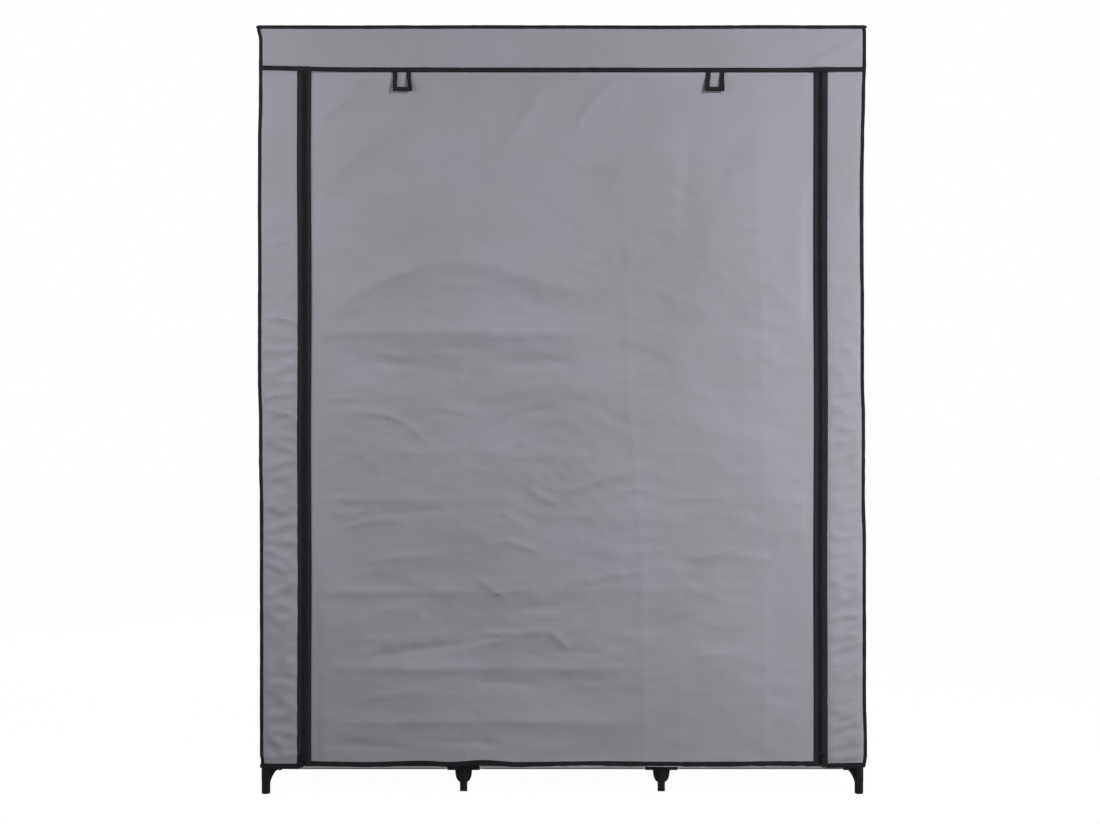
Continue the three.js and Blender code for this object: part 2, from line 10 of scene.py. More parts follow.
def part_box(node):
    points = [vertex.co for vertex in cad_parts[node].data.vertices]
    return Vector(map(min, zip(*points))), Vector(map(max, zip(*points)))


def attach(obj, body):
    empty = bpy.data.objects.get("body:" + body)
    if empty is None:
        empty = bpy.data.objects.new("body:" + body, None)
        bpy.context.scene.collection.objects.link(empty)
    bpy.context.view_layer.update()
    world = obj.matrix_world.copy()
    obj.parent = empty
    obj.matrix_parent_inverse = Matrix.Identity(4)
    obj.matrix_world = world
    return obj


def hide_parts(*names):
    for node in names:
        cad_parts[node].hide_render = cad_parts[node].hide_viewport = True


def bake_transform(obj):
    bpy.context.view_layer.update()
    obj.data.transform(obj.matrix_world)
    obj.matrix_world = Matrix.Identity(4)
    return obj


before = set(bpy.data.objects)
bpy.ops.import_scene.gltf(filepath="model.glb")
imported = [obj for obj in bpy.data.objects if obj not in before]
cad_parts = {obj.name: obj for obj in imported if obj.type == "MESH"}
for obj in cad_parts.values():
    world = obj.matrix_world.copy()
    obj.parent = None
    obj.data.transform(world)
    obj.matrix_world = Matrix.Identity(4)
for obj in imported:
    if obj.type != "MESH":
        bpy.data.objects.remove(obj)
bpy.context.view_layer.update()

# Camera
# The wardrobe is seen level and straight from the front, from a little left of its middle and at half its
# height, from four metres away.
view_distance = 4.0
view_width = 2.431
view_left = -0.0276
view_height = 0.8456
cloth_front = -0.2235

camera_data = bpy.data.cameras.new("front_camera")
camera_data.sensor_width = 36
camera_data.lens = camera_data.sensor_width * view_distance / view_width
camera = bpy.data.objects.new("front_camera", camera_data)
camera.location = (view_left, cloth_front - view_distance, view_height)
camera.rotation_euler = (math.pi / 2, 0, 0)
bpy.context.scene.collection.objects.link(camera)
bpy.context.scene.camera = camera

# Feet
# Eight feet moulded of black polypropylene carry the frame: a leg, a sleeve for each tube and a gusset under
# each arm. The corner feet have two arms and the middle ones three, and the tubes are pushed into them.
columns = ["left", "mid_left", "mid_right", "right"]
rows = ["front", "rear"]
sleeve_radius = 0.0100
sleeve_length = 0.0360
sleeve_edge = 0.0008
socket_radius = 0.0083
socket_stop = 0.0110
gusset_thickness = 0.0070
sleeve_taper = 0.0060
foot_kinds = {
    "corner": {"radius": 0.0096, "bottom": -0.062, "top": -0.037, "reach": 0.0240, "waist": 0.0135,
               "waist_drop": 0.0212, "chamfer": 0.0014, "arch": 0.0},
    "middle": {"radius": 0.0083, "bottom": -0.057, "top": -0.036, "reach": 0.0185, "waist": 0.0185,
               "waist_drop": 0.0308, "chamfer": 0.0008, "arch": 0.0018},
}
gusset_curve_steps = 8
moulding_voxel = 0.0009
moulding_softening = 4
round_steps = 40
merge_distance = 0.00002
plastic_dark = (0.0045, 0.0042, 0.0050, 1)
plastic_light = (0.0085, 0.0080, 0.0093, 1)
turn_to = {
    "x": Matrix.Rotation(math.pi / 2, 4, "Y"),
    "y": Matrix.Rotation(-math.pi / 2, 4, "X"),
    "z": Matrix.Identity(4),
}


def box_middle(node):
    low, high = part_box(node)
    return (low + high) / 2


def add_node(tree, kind, inputs=None, **settings):
    """A shader node; each input takes a value, or the output of another node that is linked to it."""
    node = tree.nodes.new(kind)
    for setting, value in settings.items():
        setattr(node, setting, value)
    for socket, value in (inputs or {}).items():
        if isinstance(value, bpy.types.NodeSocket):
            tree.links.new(value, node.inputs[socket])
        else:
            node.inputs[socket].default_value = value
    return node


def new_group(name, inputs, outputs):
    """A node group with named sockets of these kinds; returns its tree and its inputs."""
    tree = bpy.data.node_groups.new(name, "ShaderNodeTree")
    for way, sockets in (("INPUT", inputs), ("OUTPUT", outputs)):
        for label, kind in sockets.items():
            tree.interface.new_socket(label, in_out=way, socket_type=f"NodeSocket{kind}")
    return tree, tree.nodes.new("NodeGroupInput").outputs


# Surface unevenness, shared by all finishes: soft patches of two shades, with a fine grain over them
mottle, mottle_in = new_group(
    "mottled_grain",
    {"Vector": "Vector", "Patch Scale": "Float", "Grain Scale": "Float", "Dark": "Color", "Light": "Color",
     "Low": "Float", "High": "Float"},
    {"Colour": "Color", "Roughness": "Float", "Height": "Float"},
)
patches = add_node(
    mottle, "ShaderNodeTexNoise",
    {"Vector": mottle_in["Vector"], "Scale": mottle_in["Patch Scale"], "Detail": 4.0, "Roughness": 0.55},
).outputs["Fac"]
grain = add_node(
    mottle, "ShaderNodeTexNoise",
    {"Vector": mottle_in["Vector"], "Scale": mottle_in["Grain Scale"], "Detail": 3.0, "Roughness": 0.6},
).outputs["Fac"]
patch_and_grain = add_node(mottle, "ShaderNodeMix", {"Factor": 0.3, 2: patches, 3: grain}, data_type="FLOAT")
shade = add_node(
    mottle, "ShaderNodeMapRange", {"Value": patch_and_grain.outputs[0], "From Min": 0.35, "From Max": 0.65}
)
blend = add_node(
    mottle, "ShaderNodeMix", {0: shade.outputs["Result"], 6: mottle_in["Dark"], 7: mottle_in["Light"]},
    data_type="RGBA",
)
rough = add_node(
    mottle, "ShaderNodeMapRange",
    {"Value": grain, "From Min": 0.3, "From Max": 0.7, "To Min": mottle_in["Low"],
     "To Max": mottle_in["High"]},
)
add_node(
    mottle, "NodeGroupOutput",
    {"Colour": blend.outputs[2], "Roughness": rough.outputs["Result"], "Height": grain},
)


def add_bump(material, height, distance, strength):
    """Raises a surface by the height of a pattern, over the bumps that it already has."""
    tree = material.node_tree
    normal = tree.nodes["Principled BSDF"].inputs["Normal"]
    inputs = {"Height": height, "Distance": distance, "Strength": strength}
    if normal.is_linked:
        inputs["Normal"] = normal.links[0].from_socket
    tree.links.new(add_node(tree, "ShaderNodeBump", inputs).outputs["Normal"], normal)


def new_finish(name, look, shader_values, grain_bump=None, flat=False):
    """A mottled material and the coordinates that it reads: Object, or a sheet's own flat UV map."""
    material = bpy.data.materials.new(name)
    material.use_nodes = True
    tree = material.node_tree
    if flat:
        place = add_node(tree, "ShaderNodeUVMap", uv_map="flat_cloth").outputs["UV"]
    else:
        place = add_node(tree, "ShaderNodeTexCoord").outputs["Object"]
    surface = add_node(tree, "ShaderNodeGroup", {"Vector": place, **look}, node_tree=mottle).outputs
    shader = tree.nodes["Principled BSDF"].inputs
    tree.links.new(surface["Colour"], shader["Base Color"])
    tree.links.new(surface["Roughness"], shader["Roughness"])
    for socket, value in shader_values.items():
        shader[socket].default_value = value
    if grain_bump:
        add_bump(material, surface["Height"], *grain_bump)
    return material, place


plastic, _ = new_finish(
    "black_polypropylene",
    {"Patch Scale": 60.0, "Grain Scale": 1400.0, "Dark": plastic_dark, "Light": plastic_light, "Low": 0.42,
     "High": 0.60},
    {"Specular IOR Level": 0.09},
    grain_bump=(0.0002, 0.35),
)


def add_shape(shape, part):
    """Adds one bmesh to another."""
    mesh = bpy.data.meshes.new("part")
    part.to_mesh(mesh)
    part.free()
    shape.from_mesh(mesh)
    bpy.data.meshes.remove(mesh)


def moved(shape, offset):
    bmesh.ops.translate(shape, vec=offset, verts=shape.verts)
    return shape


def turned(outline, axis, place=(0, 0, 0)):
    """A solid turned from an outline of (radius, along) points that ends on the axis or closes on itself."""
    shape = bmesh.new()
    points = [shape.verts.new((radius, 0, along)) for radius, along in outline]
    lines = [shape.edges.new(pair) for pair in zip(points, points[1:])]
    if outline[0][0] > 0:
        lines.append(shape.edges.new((points[-1], points[0])))
    bmesh.ops.spin(
        shape, geom=points + lines, cent=(0, 0, 0), axis=(0, 0, 1), dvec=(0, 0, 0), angle=2 * math.pi,
        steps=round_steps, use_merge=True,
    )
    bmesh.ops.remove_doubles(shape, verts=shape.verts, dist=merge_distance)
    bmesh.ops.recalc_face_normals(shape, faces=shape.faces)
    bmesh.ops.transform(shape, matrix=Matrix.Translation(place) @ turn_to[axis], verts=shape.verts)
    return shape


def rod_outline(start, end, radius=sleeve_radius, edge=sleeve_edge):
    return [(0, start), (radius - edge, start), (radius, start + edge), (radius, end - edge),
            (radius - edge, end), (0, end)]


def bore(axis, start, end, radius=socket_radius):
    return turned([(0, start), (radius, start), (radius, end), (0, end)], axis)


def plate(outline, front, thickness):
    """A flat plate with an outline of (x, z) points, from y = front backwards."""
    shape = bmesh.new()
    face = shape.faces.new([shape.verts.new((x, front, z)) for x, z in outline])
    lifted = bmesh.ops.extrude_face_region(shape, geom=[face])["geom"]
    back = [item for item in lifted if isinstance(item, bmesh.types.BMVert)]
    bmesh.ops.translate(shape, vec=(0, thickness, 0), verts=back)
    bmesh.ops.recalc_face_normals(shape, faces=shape.faces)
    return shape


def gusset(kind, axis):
    """A flat plate under an arm, whose free edge curves from under the arm to the leg."""
    start = Vector((kind["reach"], -sleeve_radius))
    bend = Vector((kind["waist"], -kind["waist_drop"]))
    end = Vector((kind["radius"], kind["top"]))
    edge = [start]
    for step in range(1, gusset_curve_steps + 1):
        share = step / gusset_curve_steps
        edge.append(start * (1 - share) ** 2 + bend * 2 * share * (1 - share) + end * share**2)
    outline = [(0, 0), (kind["reach"], 0), *edge, (0, kind["top"])]
    shape = plate(outline, -gusset_thickness / 2, gusset_thickness)
    if axis == "y":
        bmesh.ops.rotate(shape, matrix=Matrix.Rotation(math.pi / 2, 3, "Z"), verts=shape.verts)
    return shape


def moulding(name, solids, cuts):
    """Melts overlapping solids into one moulding with soft inner corners, then cuts its sockets."""
    blank_shape = bmesh.new()
    for solid in solids:
        add_shape(blank_shape, solid)
    cutter_shape = bmesh.new()
    for cut in cuts:
        add_shape(cutter_shape, cut)
    blank = bpy.data.objects.new(name, bpy.data.meshes.new(name))
    cutter = bpy.data.objects.new(name + "_cutter", bpy.data.meshes.new(name + "_cutter"))
    blank_shape.to_mesh(blank.data)
    cutter_shape.to_mesh(cutter.data)
    for item in (blank, cutter):
        bpy.context.scene.collection.objects.link(item)
    melt = blank.modifiers.new("melt", "REMESH")
    melt.mode = "VOXEL"
    melt.voxel_size = moulding_voxel
    soften = blank.modifiers.new("soften", "SMOOTH")
    soften.iterations = moulding_softening
    drill = blank.modifiers.new("drill", "BOOLEAN")
    drill.operation = "DIFFERENCE"
    drill.solver = "EXACT"
    drill.use_self = True
    drill.object = cutter
    mesh = bpy.data.meshes.new_from_object(blank.evaluated_get(bpy.context.evaluated_depsgraph_get()))
    for item in (blank, cutter):
        bpy.data.objects.remove(item)
    return mesh


def add_piece(name, shape, material, sharp_degrees=40):
    """Makes a bmesh into a piece of the wardrobe."""
    mesh = bpy.data.meshes.new(name)
    shape.to_mesh(mesh)
    shape.free()
    mesh.materials.clear()
    mesh.materials.append(material)
    mesh.shade_smooth()
    mesh.set_sharp_from_angle(angle=math.radians(sharp_degrees))
    piece = bpy.data.objects.new(name, mesh)
    bpy.context.scene.collection.objects.link(piece)
    return piece


def add_moulding(name, mesh, place, mirrored):
    """A copy of a moulding at its place, mirrored in x and y where its side of the frame asks for it."""
    shape = bmesh.new()
    shape.from_mesh(mesh)
    mirror = Matrix.Diagonal((mirrored[0], mirrored[1], 1, 1))
    bmesh.ops.transform(shape, matrix=Matrix.Translation(place) @ mirror, verts=shape.verts)
    if mirrored[0] * mirrored[1] < 0:
        bmesh.ops.reverse_faces(shape, faces=shape.faces)
    return add_piece(name, shape, plastic)


def foot_moulding(kind_name, x_signs):
    kind = foot_kinds[kind_name]
    leg = [
        (0, kind["bottom"]),
        (kind["radius"] - kind["chamfer"], kind["bottom"]),
        (kind["radius"], kind["bottom"] + kind["chamfer"]),
        (kind["radius"], kind["top"]),
        (sleeve_radius, kind["top"] + sleeve_taper),
        (sleeve_radius, sleeve_length - sleeve_edge),
        (sleeve_radius - sleeve_edge, sleeve_length),
        (0, sleeve_length),
    ]
    solids = [turned(leg, "z"), turned(rod_outline(0, sleeve_length), "y"), gusset(kind, "y")]
    for sign in x_signs:
        for solid in (turned(rod_outline(0, sleeve_length), "x"), gusset(kind, "x")):
            if sign < 0:
                bmesh.ops.rotate(solid, matrix=Matrix.Rotation(math.pi, 3, "Z"), verts=solid.verts)
            solids.append(solid)
    mouth = sleeve_length + sleeve_radius
    through = -mouth if len(x_signs) > 1 else socket_stop
    cuts = [bore("x", through, mouth), bore("y", socket_stop, mouth), bore("z", socket_stop, mouth)]
    if kind["arch"] > 0:
        arch_radius = (kind["radius"] ** 2 + kind["arch"] ** 2) / (2 * kind["arch"])
        arch_middle = kind["bottom"] + kind["arch"] - arch_radius
        cuts.append(moved(bore("y", -mouth, mouth, arch_radius), (0, 0, arch_middle)))
    return moulding(f"{kind_name}_foot", solids, cuts)


def add_connectors(name, node, meshes, height):
    """One moulding on each post, mirrored to its side of the frame."""
    for column in columns:
        for row in rows:
            middle = box_middle(f"post_{row}_{column}")
            kind_name = "middle" if "mid" in column else "corner"
            mirrored = (-1 if column == "right" else 1, 1 if row == "front" else -1)
            place = (middle.x, middle.y, height)
            connector = add_moulding(f"{name}_{row}_{column}", meshes[kind_name], place, mirrored)
            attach(connector, "root")
            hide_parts(f"{node}_{row}_{column}")


bottom_rail_height = box_middle("bottom_front_rail").z
foot_meshes = {"corner": foot_moulding("corner", [1]), "middle": foot_moulding("middle", [-1, 1])}
add_connectors("moulded_foot", "foot", foot_meshes, bottom_rail_height)

# Top connectors
# The same black polypropylene joins the tubes at the top: a sleeve down over the post, and one for each rail.
# Each is moulded in one piece and hidden below the roof cloth.


def top_moulding(name, x_signs):
    solids = [
        turned(rod_outline(-sleeve_length, sleeve_radius), "z"),
        turned(rod_outline(0, sleeve_length), "y"),
    ]
    for sign in x_signs:
        ends = (0, sleeve_length) if sign > 0 else (-sleeve_length, 0)
        solids.append(turned(rod_outline(*ends), "x"))
    mouth = sleeve_length + sleeve_radius
    through = -mouth if len(x_signs) > 1 else socket_stop
    cuts = [bore("x", through, mouth), bore("y", socket_stop, mouth), bore("z", -mouth, -socket_stop)]
    return moulding(name, solids, cuts)


top_rail_height = box_middle("top_front_rail").z
top_meshes = {"corner": top_moulding("corner_top", [1]), "middle": top_moulding("middle_top", [-1, 1])}
add_connectors("moulded_top", "top_connector", top_meshes, top_rail_height)

# Posts and rails
# Thin steel tubes, drawn and powder coated in silver grey, pushed into the connectors' sockets. The posts
# stand, the long rails run from side to side and the depth rails from front to rear.
tube_wall = 0.0007
tube_edge = 0.0002
coat_dark = (0.300, 0.298, 0.305, 1)
coat_light = (0.360, 0.358, 0.366, 1)

coat, _ = new_finish(
    "silver_powder_coat",
    {"Patch Scale": 14.0, "Grain Scale": 900.0, "Dark": coat_dark, "Light": coat_light, "Low": 0.34,
     "High": 0.46},
    {"Metallic": 0.45},
    grain_bump=(0.0001, 0.25),
)


def tube_outline(radius, half):
    """Half of a cut along a drawn tube, whose ends are eased."""
    inside = radius - tube_wall
    return [(inside, -half), (radius - tube_edge, -half), (radius, tube_edge - half),
            (radius, half - tube_edge), (radius - tube_edge, half), (inside, half)]


def tube(node, axis):
    """A drawn tube with its wall, where the frame has this node."""
    low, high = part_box(node)
    return turned(tube_outline(min(high - low) / 2, max(high - low) / 2), axis, (low + high) / 2)


tubes = [(f"post_{row}_{column}", "z") for row in rows for column in columns]
tubes += [(f"{level}_{row}_rail", "x") for level in ("bottom", "top") for row in rows]
tubes += [(f"bottom_depth_rail_{column}", "y") for column in columns]
tubes += [("top_depth_rail_left", "y"), ("hanging_rail", "x")]

for node, axis in tubes:
    steel_tube = add_piece(f"steel_{node}", tube(node, axis), coat)
    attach(steel_tube, "root")
    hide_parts(node)

# Hanging clips
# Over the two hanging bays each top depth rail is a tube that carries a clip moulded of black polypropylene:
# a ring round the rail, a web down from it and a ring round the hanging rail.
clip_half = 0.0090
clip_web_half = Vector((0.0070, 0.0040, 0))
rail_radius = 0.0080
depth_rail_low, depth_rail_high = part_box("top_depth_rail_left")
rail_outline = tube_outline(rail_radius, (depth_rail_high.y - depth_rail_low.y) / 2)
hanging_drop = Vector((0, 0, box_middle("hanging_rail").z - top_rail_height))


def softened(shape, width):
    """Rounds every edge of a solid a little."""
    bmesh.ops.bevel(
        shape, geom=shape.edges, offset=width, segments=2, profile=0.5, affect="EDGES", material=-1
    )
    return shape


def box_between(low, high, edge):
    shape = bmesh.new()
    bmesh.ops.create_cube(shape, size=1)
    bmesh.ops.scale(shape, vec=Vector(high) - Vector(low), verts=shape.verts)
    return moved(softened(shape, edge), (Vector(low) + Vector(high)) / 2)


def clip_moulding():
    solids = [
        turned(rod_outline(-clip_half, clip_half), "y"),
        box_between(hanging_drop - clip_web_half, clip_web_half, sleeve_edge),
        turned(rod_outline(-clip_half, clip_half), "x", hanging_drop),
    ]
    cuts = [
        bore("y", -2 * clip_half, 2 * clip_half),
        moved(bore("x", -2 * clip_half, 2 * clip_half), hanging_drop),
    ]
    return moulding("hanging_clip", solids, cuts)


clip_mesh = clip_moulding()

for column in columns[1:]:
    node = f"top_depth_rail_{column}"
    place = (box_middle(f"post_front_{column}").x, 0, top_rail_height)
    clip = add_moulding(f"hanging_clip_{column}", clip_mesh, place, (1, 1))
    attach(clip, "root")
    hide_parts(node)
    depth_rail = add_piece(f"steel_{node}", turned(rail_outline, "y", place), coat)
    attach(depth_rail, "root")
    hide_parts(node)

# Shelf frames
# Each shelf in the left bay lies on two rails and two depth rails in four collars that grip the posts. The
# collars are moulded like the connectors and the tubes are those of the frame.
collar_reach = 0.0200
collar_arm = 0.0300
bay_left = box_middle("post_front_left")
bay_right = box_middle("post_front_mid_left")
row_rear = box_middle("post_rear_left").y


def collar_moulding():
    solids = [
        turned(rod_outline(-collar_reach, collar_reach), "z"),
        turned(rod_outline(0, collar_arm), "x"),
        turned(rod_outline(0, collar_arm), "y"),
    ]
    mouth = collar_arm + sleeve_radius
    cuts = [bore("z", -mouth, mouth), bore("x", socket_stop, mouth), bore("y", socket_stop, mouth)]
    return moulding("shelf_collar", solids, cuts)


def rail_between(start, end, axis):
    """A tube from one socket to the next, along x or y."""
    half = (end - start).length / 2 - socket_stop
    outline = [(radius, math.copysign(half, along)) for radius, along in rail_outline]
    return turned(outline, axis, (start + end) / 2)


collar_mesh = collar_moulding()

for number in (1, 2):
    node = f"shelf_frame_{number}"
    height = box_middle(node).z
    corners = {
        "front_left": Vector((bay_left.x, bay_left.y, height)),
        "front_right": Vector((bay_right.x, bay_left.y, height)),
        "rear_right": Vector((bay_right.x, row_rear, height)),
        "rear_left": Vector((bay_left.x, row_rear, height)),
    }
    for label, corner in corners.items():
        mirrored = (-1 if "right" in label else 1, -1 if "rear" in label else 1)
        collar = add_moulding(f"shelf_{number}_collar_{label}", collar_mesh, corner, mirrored)
        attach(collar, "root")
        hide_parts(node)
    sides = [("front_left", "front_right", "x", "front"), ("rear_left", "rear_right", "x", "rear"),
             ("front_left", "rear_left", "y", "left"), ("front_right", "rear_right", "y", "right")]
    for start, end, axis, side in sides:
        rail_shape = rail_between(corners[start], corners[end], axis)
        shelf_rail = add_piece(f"shelf_{number}_{side}_rail", rail_shape, coat)
        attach(shelf_rail, "root")
        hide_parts(node)

# Shelves
# Each shelf is one sheet of the cover's non-woven cloth, with a sleeve sewn along its front and rear edges
# that a rail slides through. The weight of what lies on it has pulled the middle down a little.
cloth_thickness = 0.0010
cloth_dark = (0.262, 0.250, 0.276, 1)
cloth_light = (0.290, 0.277, 0.318, 1)
bond_pitch = 0.0016
sleeve_turn = math.radians(330)
shelf_sag = 0.0050
shelf_reach = 0.0330
shelf_cell = 0.010
shelf_wrinkle = 0.0009
shelf_wrinkle_size = (0.05, 2.0)
shelf_seed_step = 3.7
sleeve_clearance = 0.0002
sleeve_mid_radius = socket_radius + cloth_thickness / 2 + sleeve_clearance


def add_math(tree, operation, *inputs, **settings):
    """The result of a sum on values and on other nodes' outputs."""
    node = add_node(tree, "ShaderNodeMath", dict(enumerate(inputs)), operation=operation, **settings)
    return node.outputs[0]


def add_waves(tree, inputs, operation):
    """A wave along x and one along y, at the pitch that a group is given."""
    place = add_node(tree, "ShaderNodeSeparateXYZ", {"Vector": inputs["Vector"]}).outputs
    turns = [add_math(tree, "DIVIDE", place[axis], inputs["Pitch"]) for axis in "XY"]
    return [add_math(tree, operation, add_math(tree, "MULTIPLY", turn, 2 * math.pi)) for turn in turns]


# The bonding points of the cloth: small pressed dots in rows, which only show close up
bonding, bonding_in = new_group("bonding_points", {"Vector": "Vector", "Pitch": "Float"}, {"Height": "Float"})
bond_dots = add_node(
    bonding, "ShaderNodeMapRange",
    {"Value": add_math(bonding, "MULTIPLY", *add_waves(bonding, bonding_in, "COSINE")), "From Min": 0.35,
     "From Max": 0.75, "To Min": 1.0, "To Max": 0.0},
)
add_node(bonding, "NodeGroupOutput", {"Height": bond_dots.outputs["Result"]})

cloth, cloth_flat = new_finish(
    "grey_non_woven_cloth",
    {"Patch Scale": 3.2, "Grain Scale": 700.0, "Dark": cloth_dark, "Light": cloth_light, "Low": 0.86,
     "High": 0.97},
    {"Specular IOR Level": 0.15, "Sheen Weight": 0.04, "Sheen Roughness": 0.5},
    grain_bump=(0.0002, 0.3),
    flat=True,
)
cloth_bonds = add_node(
    cloth.node_tree, "ShaderNodeGroup", {"Vector": cloth_flat, "Pitch": bond_pitch}, node_tree=bonding
)
add_bump(cloth, cloth_bonds.outputs["Height"], 0.0001, 0.35)


def cloth_grid(size, cell, place):
    """A sheet as a grid over its flat size; place(across, up) puts a point of the flat cloth, in metres."""
    shape = bmesh.new()
    flat = shape.loops.layers.uv.new("flat_cloth")
    segments = [max(2, round(length / cell)) for length in size]
    bmesh.ops.create_grid(shape, x_segments=segments[0], y_segments=segments[1], size=0.5, calc_uvs=True)
    for vert in shape.verts:
        vert.co = Vector(((vert.co.x + 0.5) * size[0], (vert.co.y + 0.5) * size[1], 0))
    for face in shape.faces:
        for loop in face.loops:
            loop[flat].uv = loop.vert.co.xy
    for vert in shape.verts:
        vert.co = place(vert.co.x, vert.co.y)
    return shape


def thickened(shape, thickness=cloth_thickness):
    """Closes a sheet into a shell, with a second layer behind the face that it shows."""
    lifted = bmesh.ops.extrude_face_region(shape, geom=shape.faces[:])["geom"]
    shape.normal_update()
    for item in lifted:
        if isinstance(item, bmesh.types.BMVert):
            item.co -= item.normal * thickness
    bmesh.ops.recalc_face_normals(shape, faces=shape.faces)
    return shape


def wrinkle(point, size, stretch, start, seed=0):
    """Irregular creases from -1 to 1, of a size in metres, drawn out along x by stretch.

    The start and the seed together pick the pattern.
    """
    start += seed
    return noise.noise(Vector((point.x / (size * stretch) + start, point.y / size - start, start)))


shelf_span = row_rear - bay_left.y
sleeve_cloth = sleeve_turn * sleeve_mid_radius
shelf_cut = 2 * sleeve_cloth + shelf_span


def shelf_profile(along, sag):
    """The place (y, z) on a shelf's path: round the front rail, across the bay, round the rear rail."""
    if along < sleeve_cloth:
        turn = math.pi / 2 + sleeve_turn - along / sleeve_mid_radius
        return bay_left.y + sleeve_mid_radius * math.cos(turn), sleeve_mid_radius * math.sin(turn)
    if along > sleeve_cloth + shelf_span:
        turn = math.pi / 2 - (along - sleeve_cloth - shelf_span) / sleeve_mid_radius
        return row_rear + sleeve_mid_radius * math.cos(turn), sleeve_mid_radius * math.sin(turn)
    share = (along - sleeve_cloth) / shelf_span
    return bay_left.y + share * shelf_span, sleeve_mid_radius - sag * math.sin(math.pi * share)


for number in (1, 2):
    height = box_middle(f"shelf_frame_{number}").z
    shelf_width = bay_right.x - bay_left.x - 2 * shelf_reach
    shelf_start = bay_left.x + shelf_reach

    def place_shelf(across, along, height=height, seed=number * shelf_seed_step):
        y, z = shelf_profile(along, shelf_sag * math.sin(math.pi * across / shelf_width))
        free = math.sin(math.pi * min(1, max(0, (along - sleeve_cloth) / shelf_span)))
        lift = shelf_wrinkle * free * wrinkle(Vector((across, along)), *shelf_wrinkle_size, seed)
        return Vector((shelf_start + across, y, height + z + lift))

    shelf_shape = cloth_grid((shelf_width, shelf_cut), shelf_cell / 2, place_shelf)
    shelf = add_piece(f"cloth_shelf_{number}", thickened(shelf_shape), cloth)
    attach(shelf, "root")
    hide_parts(f"shelf_{number}")

# Base shelf
# One sheet across all three bays lies on the bottom rails. Its sleeves are cut away round the feet, so that
# only the sheet between them bridges from bay to bay.
base_reach = 0.0390
frame_half = box_middle("post_front_right").x
base_width = 2 * (frame_half - base_reach)
base_notch = base_reach
base_wrinkle = (0.06, 2.0, 11.3)


def is_notched(face):
    """Whether a face of the base shelf lies in a cutout beside a middle foot."""
    middle = face.calc_center_median()
    beside_foot = any(abs(middle.x - column.x) < base_notch for column in (bay_right, -bay_right))
    return beside_foot and abs(middle.y) > abs(bay_left.y) - base_notch


def place_base(across, along):
    y, z = shelf_profile(along, 0)
    free = math.sin(math.pi * min(1, max(0, (along - sleeve_cloth) / shelf_span)))
    lift = shelf_wrinkle * free * wrinkle(Vector((across, along)), *base_wrinkle)
    return Vector((across - base_width / 2, y, bottom_rail_height + z + lift))


base_shape = cloth_grid((base_width, shelf_cut), shelf_cell, place_base)
bmesh.ops.delete(base_shape, geom=[face for face in base_shape.faces if is_notched(face)], context="FACES")
base_shelf = add_piece("cloth_base_shelf", thickened(base_shape), cloth)
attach(base_shelf, "root")
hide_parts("base_shelf")

# Roof
# The cover's roof is one sheet that lies on the top rails and sags a little between them. Its four edges are
# sewn to the walls under a binding.
roof_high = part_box("roof_panel")[1]
cover_half = roof_high.x
cover_depth_half = roof_high.y
roof_sag = 0.0035
roof_pucker = 0.0030
roof_wrinkle = (0.07, 1.6, 5.1)
panel_cell = 0.008
bay_count = 3


def place_roof(across, along):
    across_share = across / (2 * cover_half)
    along_share = along / (2 * cover_depth_half)
    sag = roof_sag * abs(math.sin(bay_count * math.pi * across_share)) * math.sin(math.pi * along_share) ** 2
    free = math.sin(math.pi * along_share) * abs(math.sin(bay_count * math.pi * across_share)) ** 0.5
    lift = roof_pucker * free * wrinkle(Vector((across, along)), *roof_wrinkle)
    return Vector((across - cover_half, along - cover_depth_half, roof_high.z - sag + lift))


roof_size = (2 * cover_half, 2 * cover_depth_half)
roof = add_piece("cloth_roof", thickened(cloth_grid(roof_size, panel_cell, place_roof)), cloth)
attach(roof, "root")
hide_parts("roof_panel")

# Side panels
# Each side is one sheet, drawn round the corner posts and sewn to the front and the back at the corners. It
# hangs free below the bottom rail and ends in a bound hem.
wall_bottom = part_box("left_side_panel")[0].z
wall_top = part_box("left_side_panel")[1].z
wall_hem_width = 0.008
hem_hold = wall_bottom + wall_hem_width
wall_side_reach = 0.05
wall_top_reach = 0.06
wall_hem_reach = 0.04
wall_slack = 0.4
crease_roundness = 0.10
side_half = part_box("left_side_panel")[1].y
side_pucker = 0.0052
packet_reach = 0.009
packet_strength = 0.6
packet_change = 1.4
packet_change_rates = (4, 9)
packet_start = 2.5
side_packet = [("level", 0.33, 0.0012), ("level", 0.72, 0.0016), ("level", 1.11, 0.0013),
               ("upright", 0.0, 0.0016)]
corner_turn = 0.014

# The puckers of slack cloth are layers: each has its size in metres, how far it is drawn out along x and
# where its pattern starts, and further down stand the shares that the layers have in the whole
pucker_bend = 0.026
bend_across = (0.11, 1, 31.3)
bend_up = (0.11, 1, 37.9)
long_puckers = (0.052, 3.0, 3.3)
dense_patches = (0.20, 1, 77.1)
crumples = (0.060, 1.9, 61.7)
small_crumples = (0.026, 1.6, 83.9)
fine_puckers = (0.018, 2.4, 8.8)
finest_puckers = (0.009, 1.8, 12.6)
crumple_width = 0.45
dense_least = 0.6
long_share = 0.26
crumple_share = 0.15
fine_share = 0.12
finer_share = 0.5

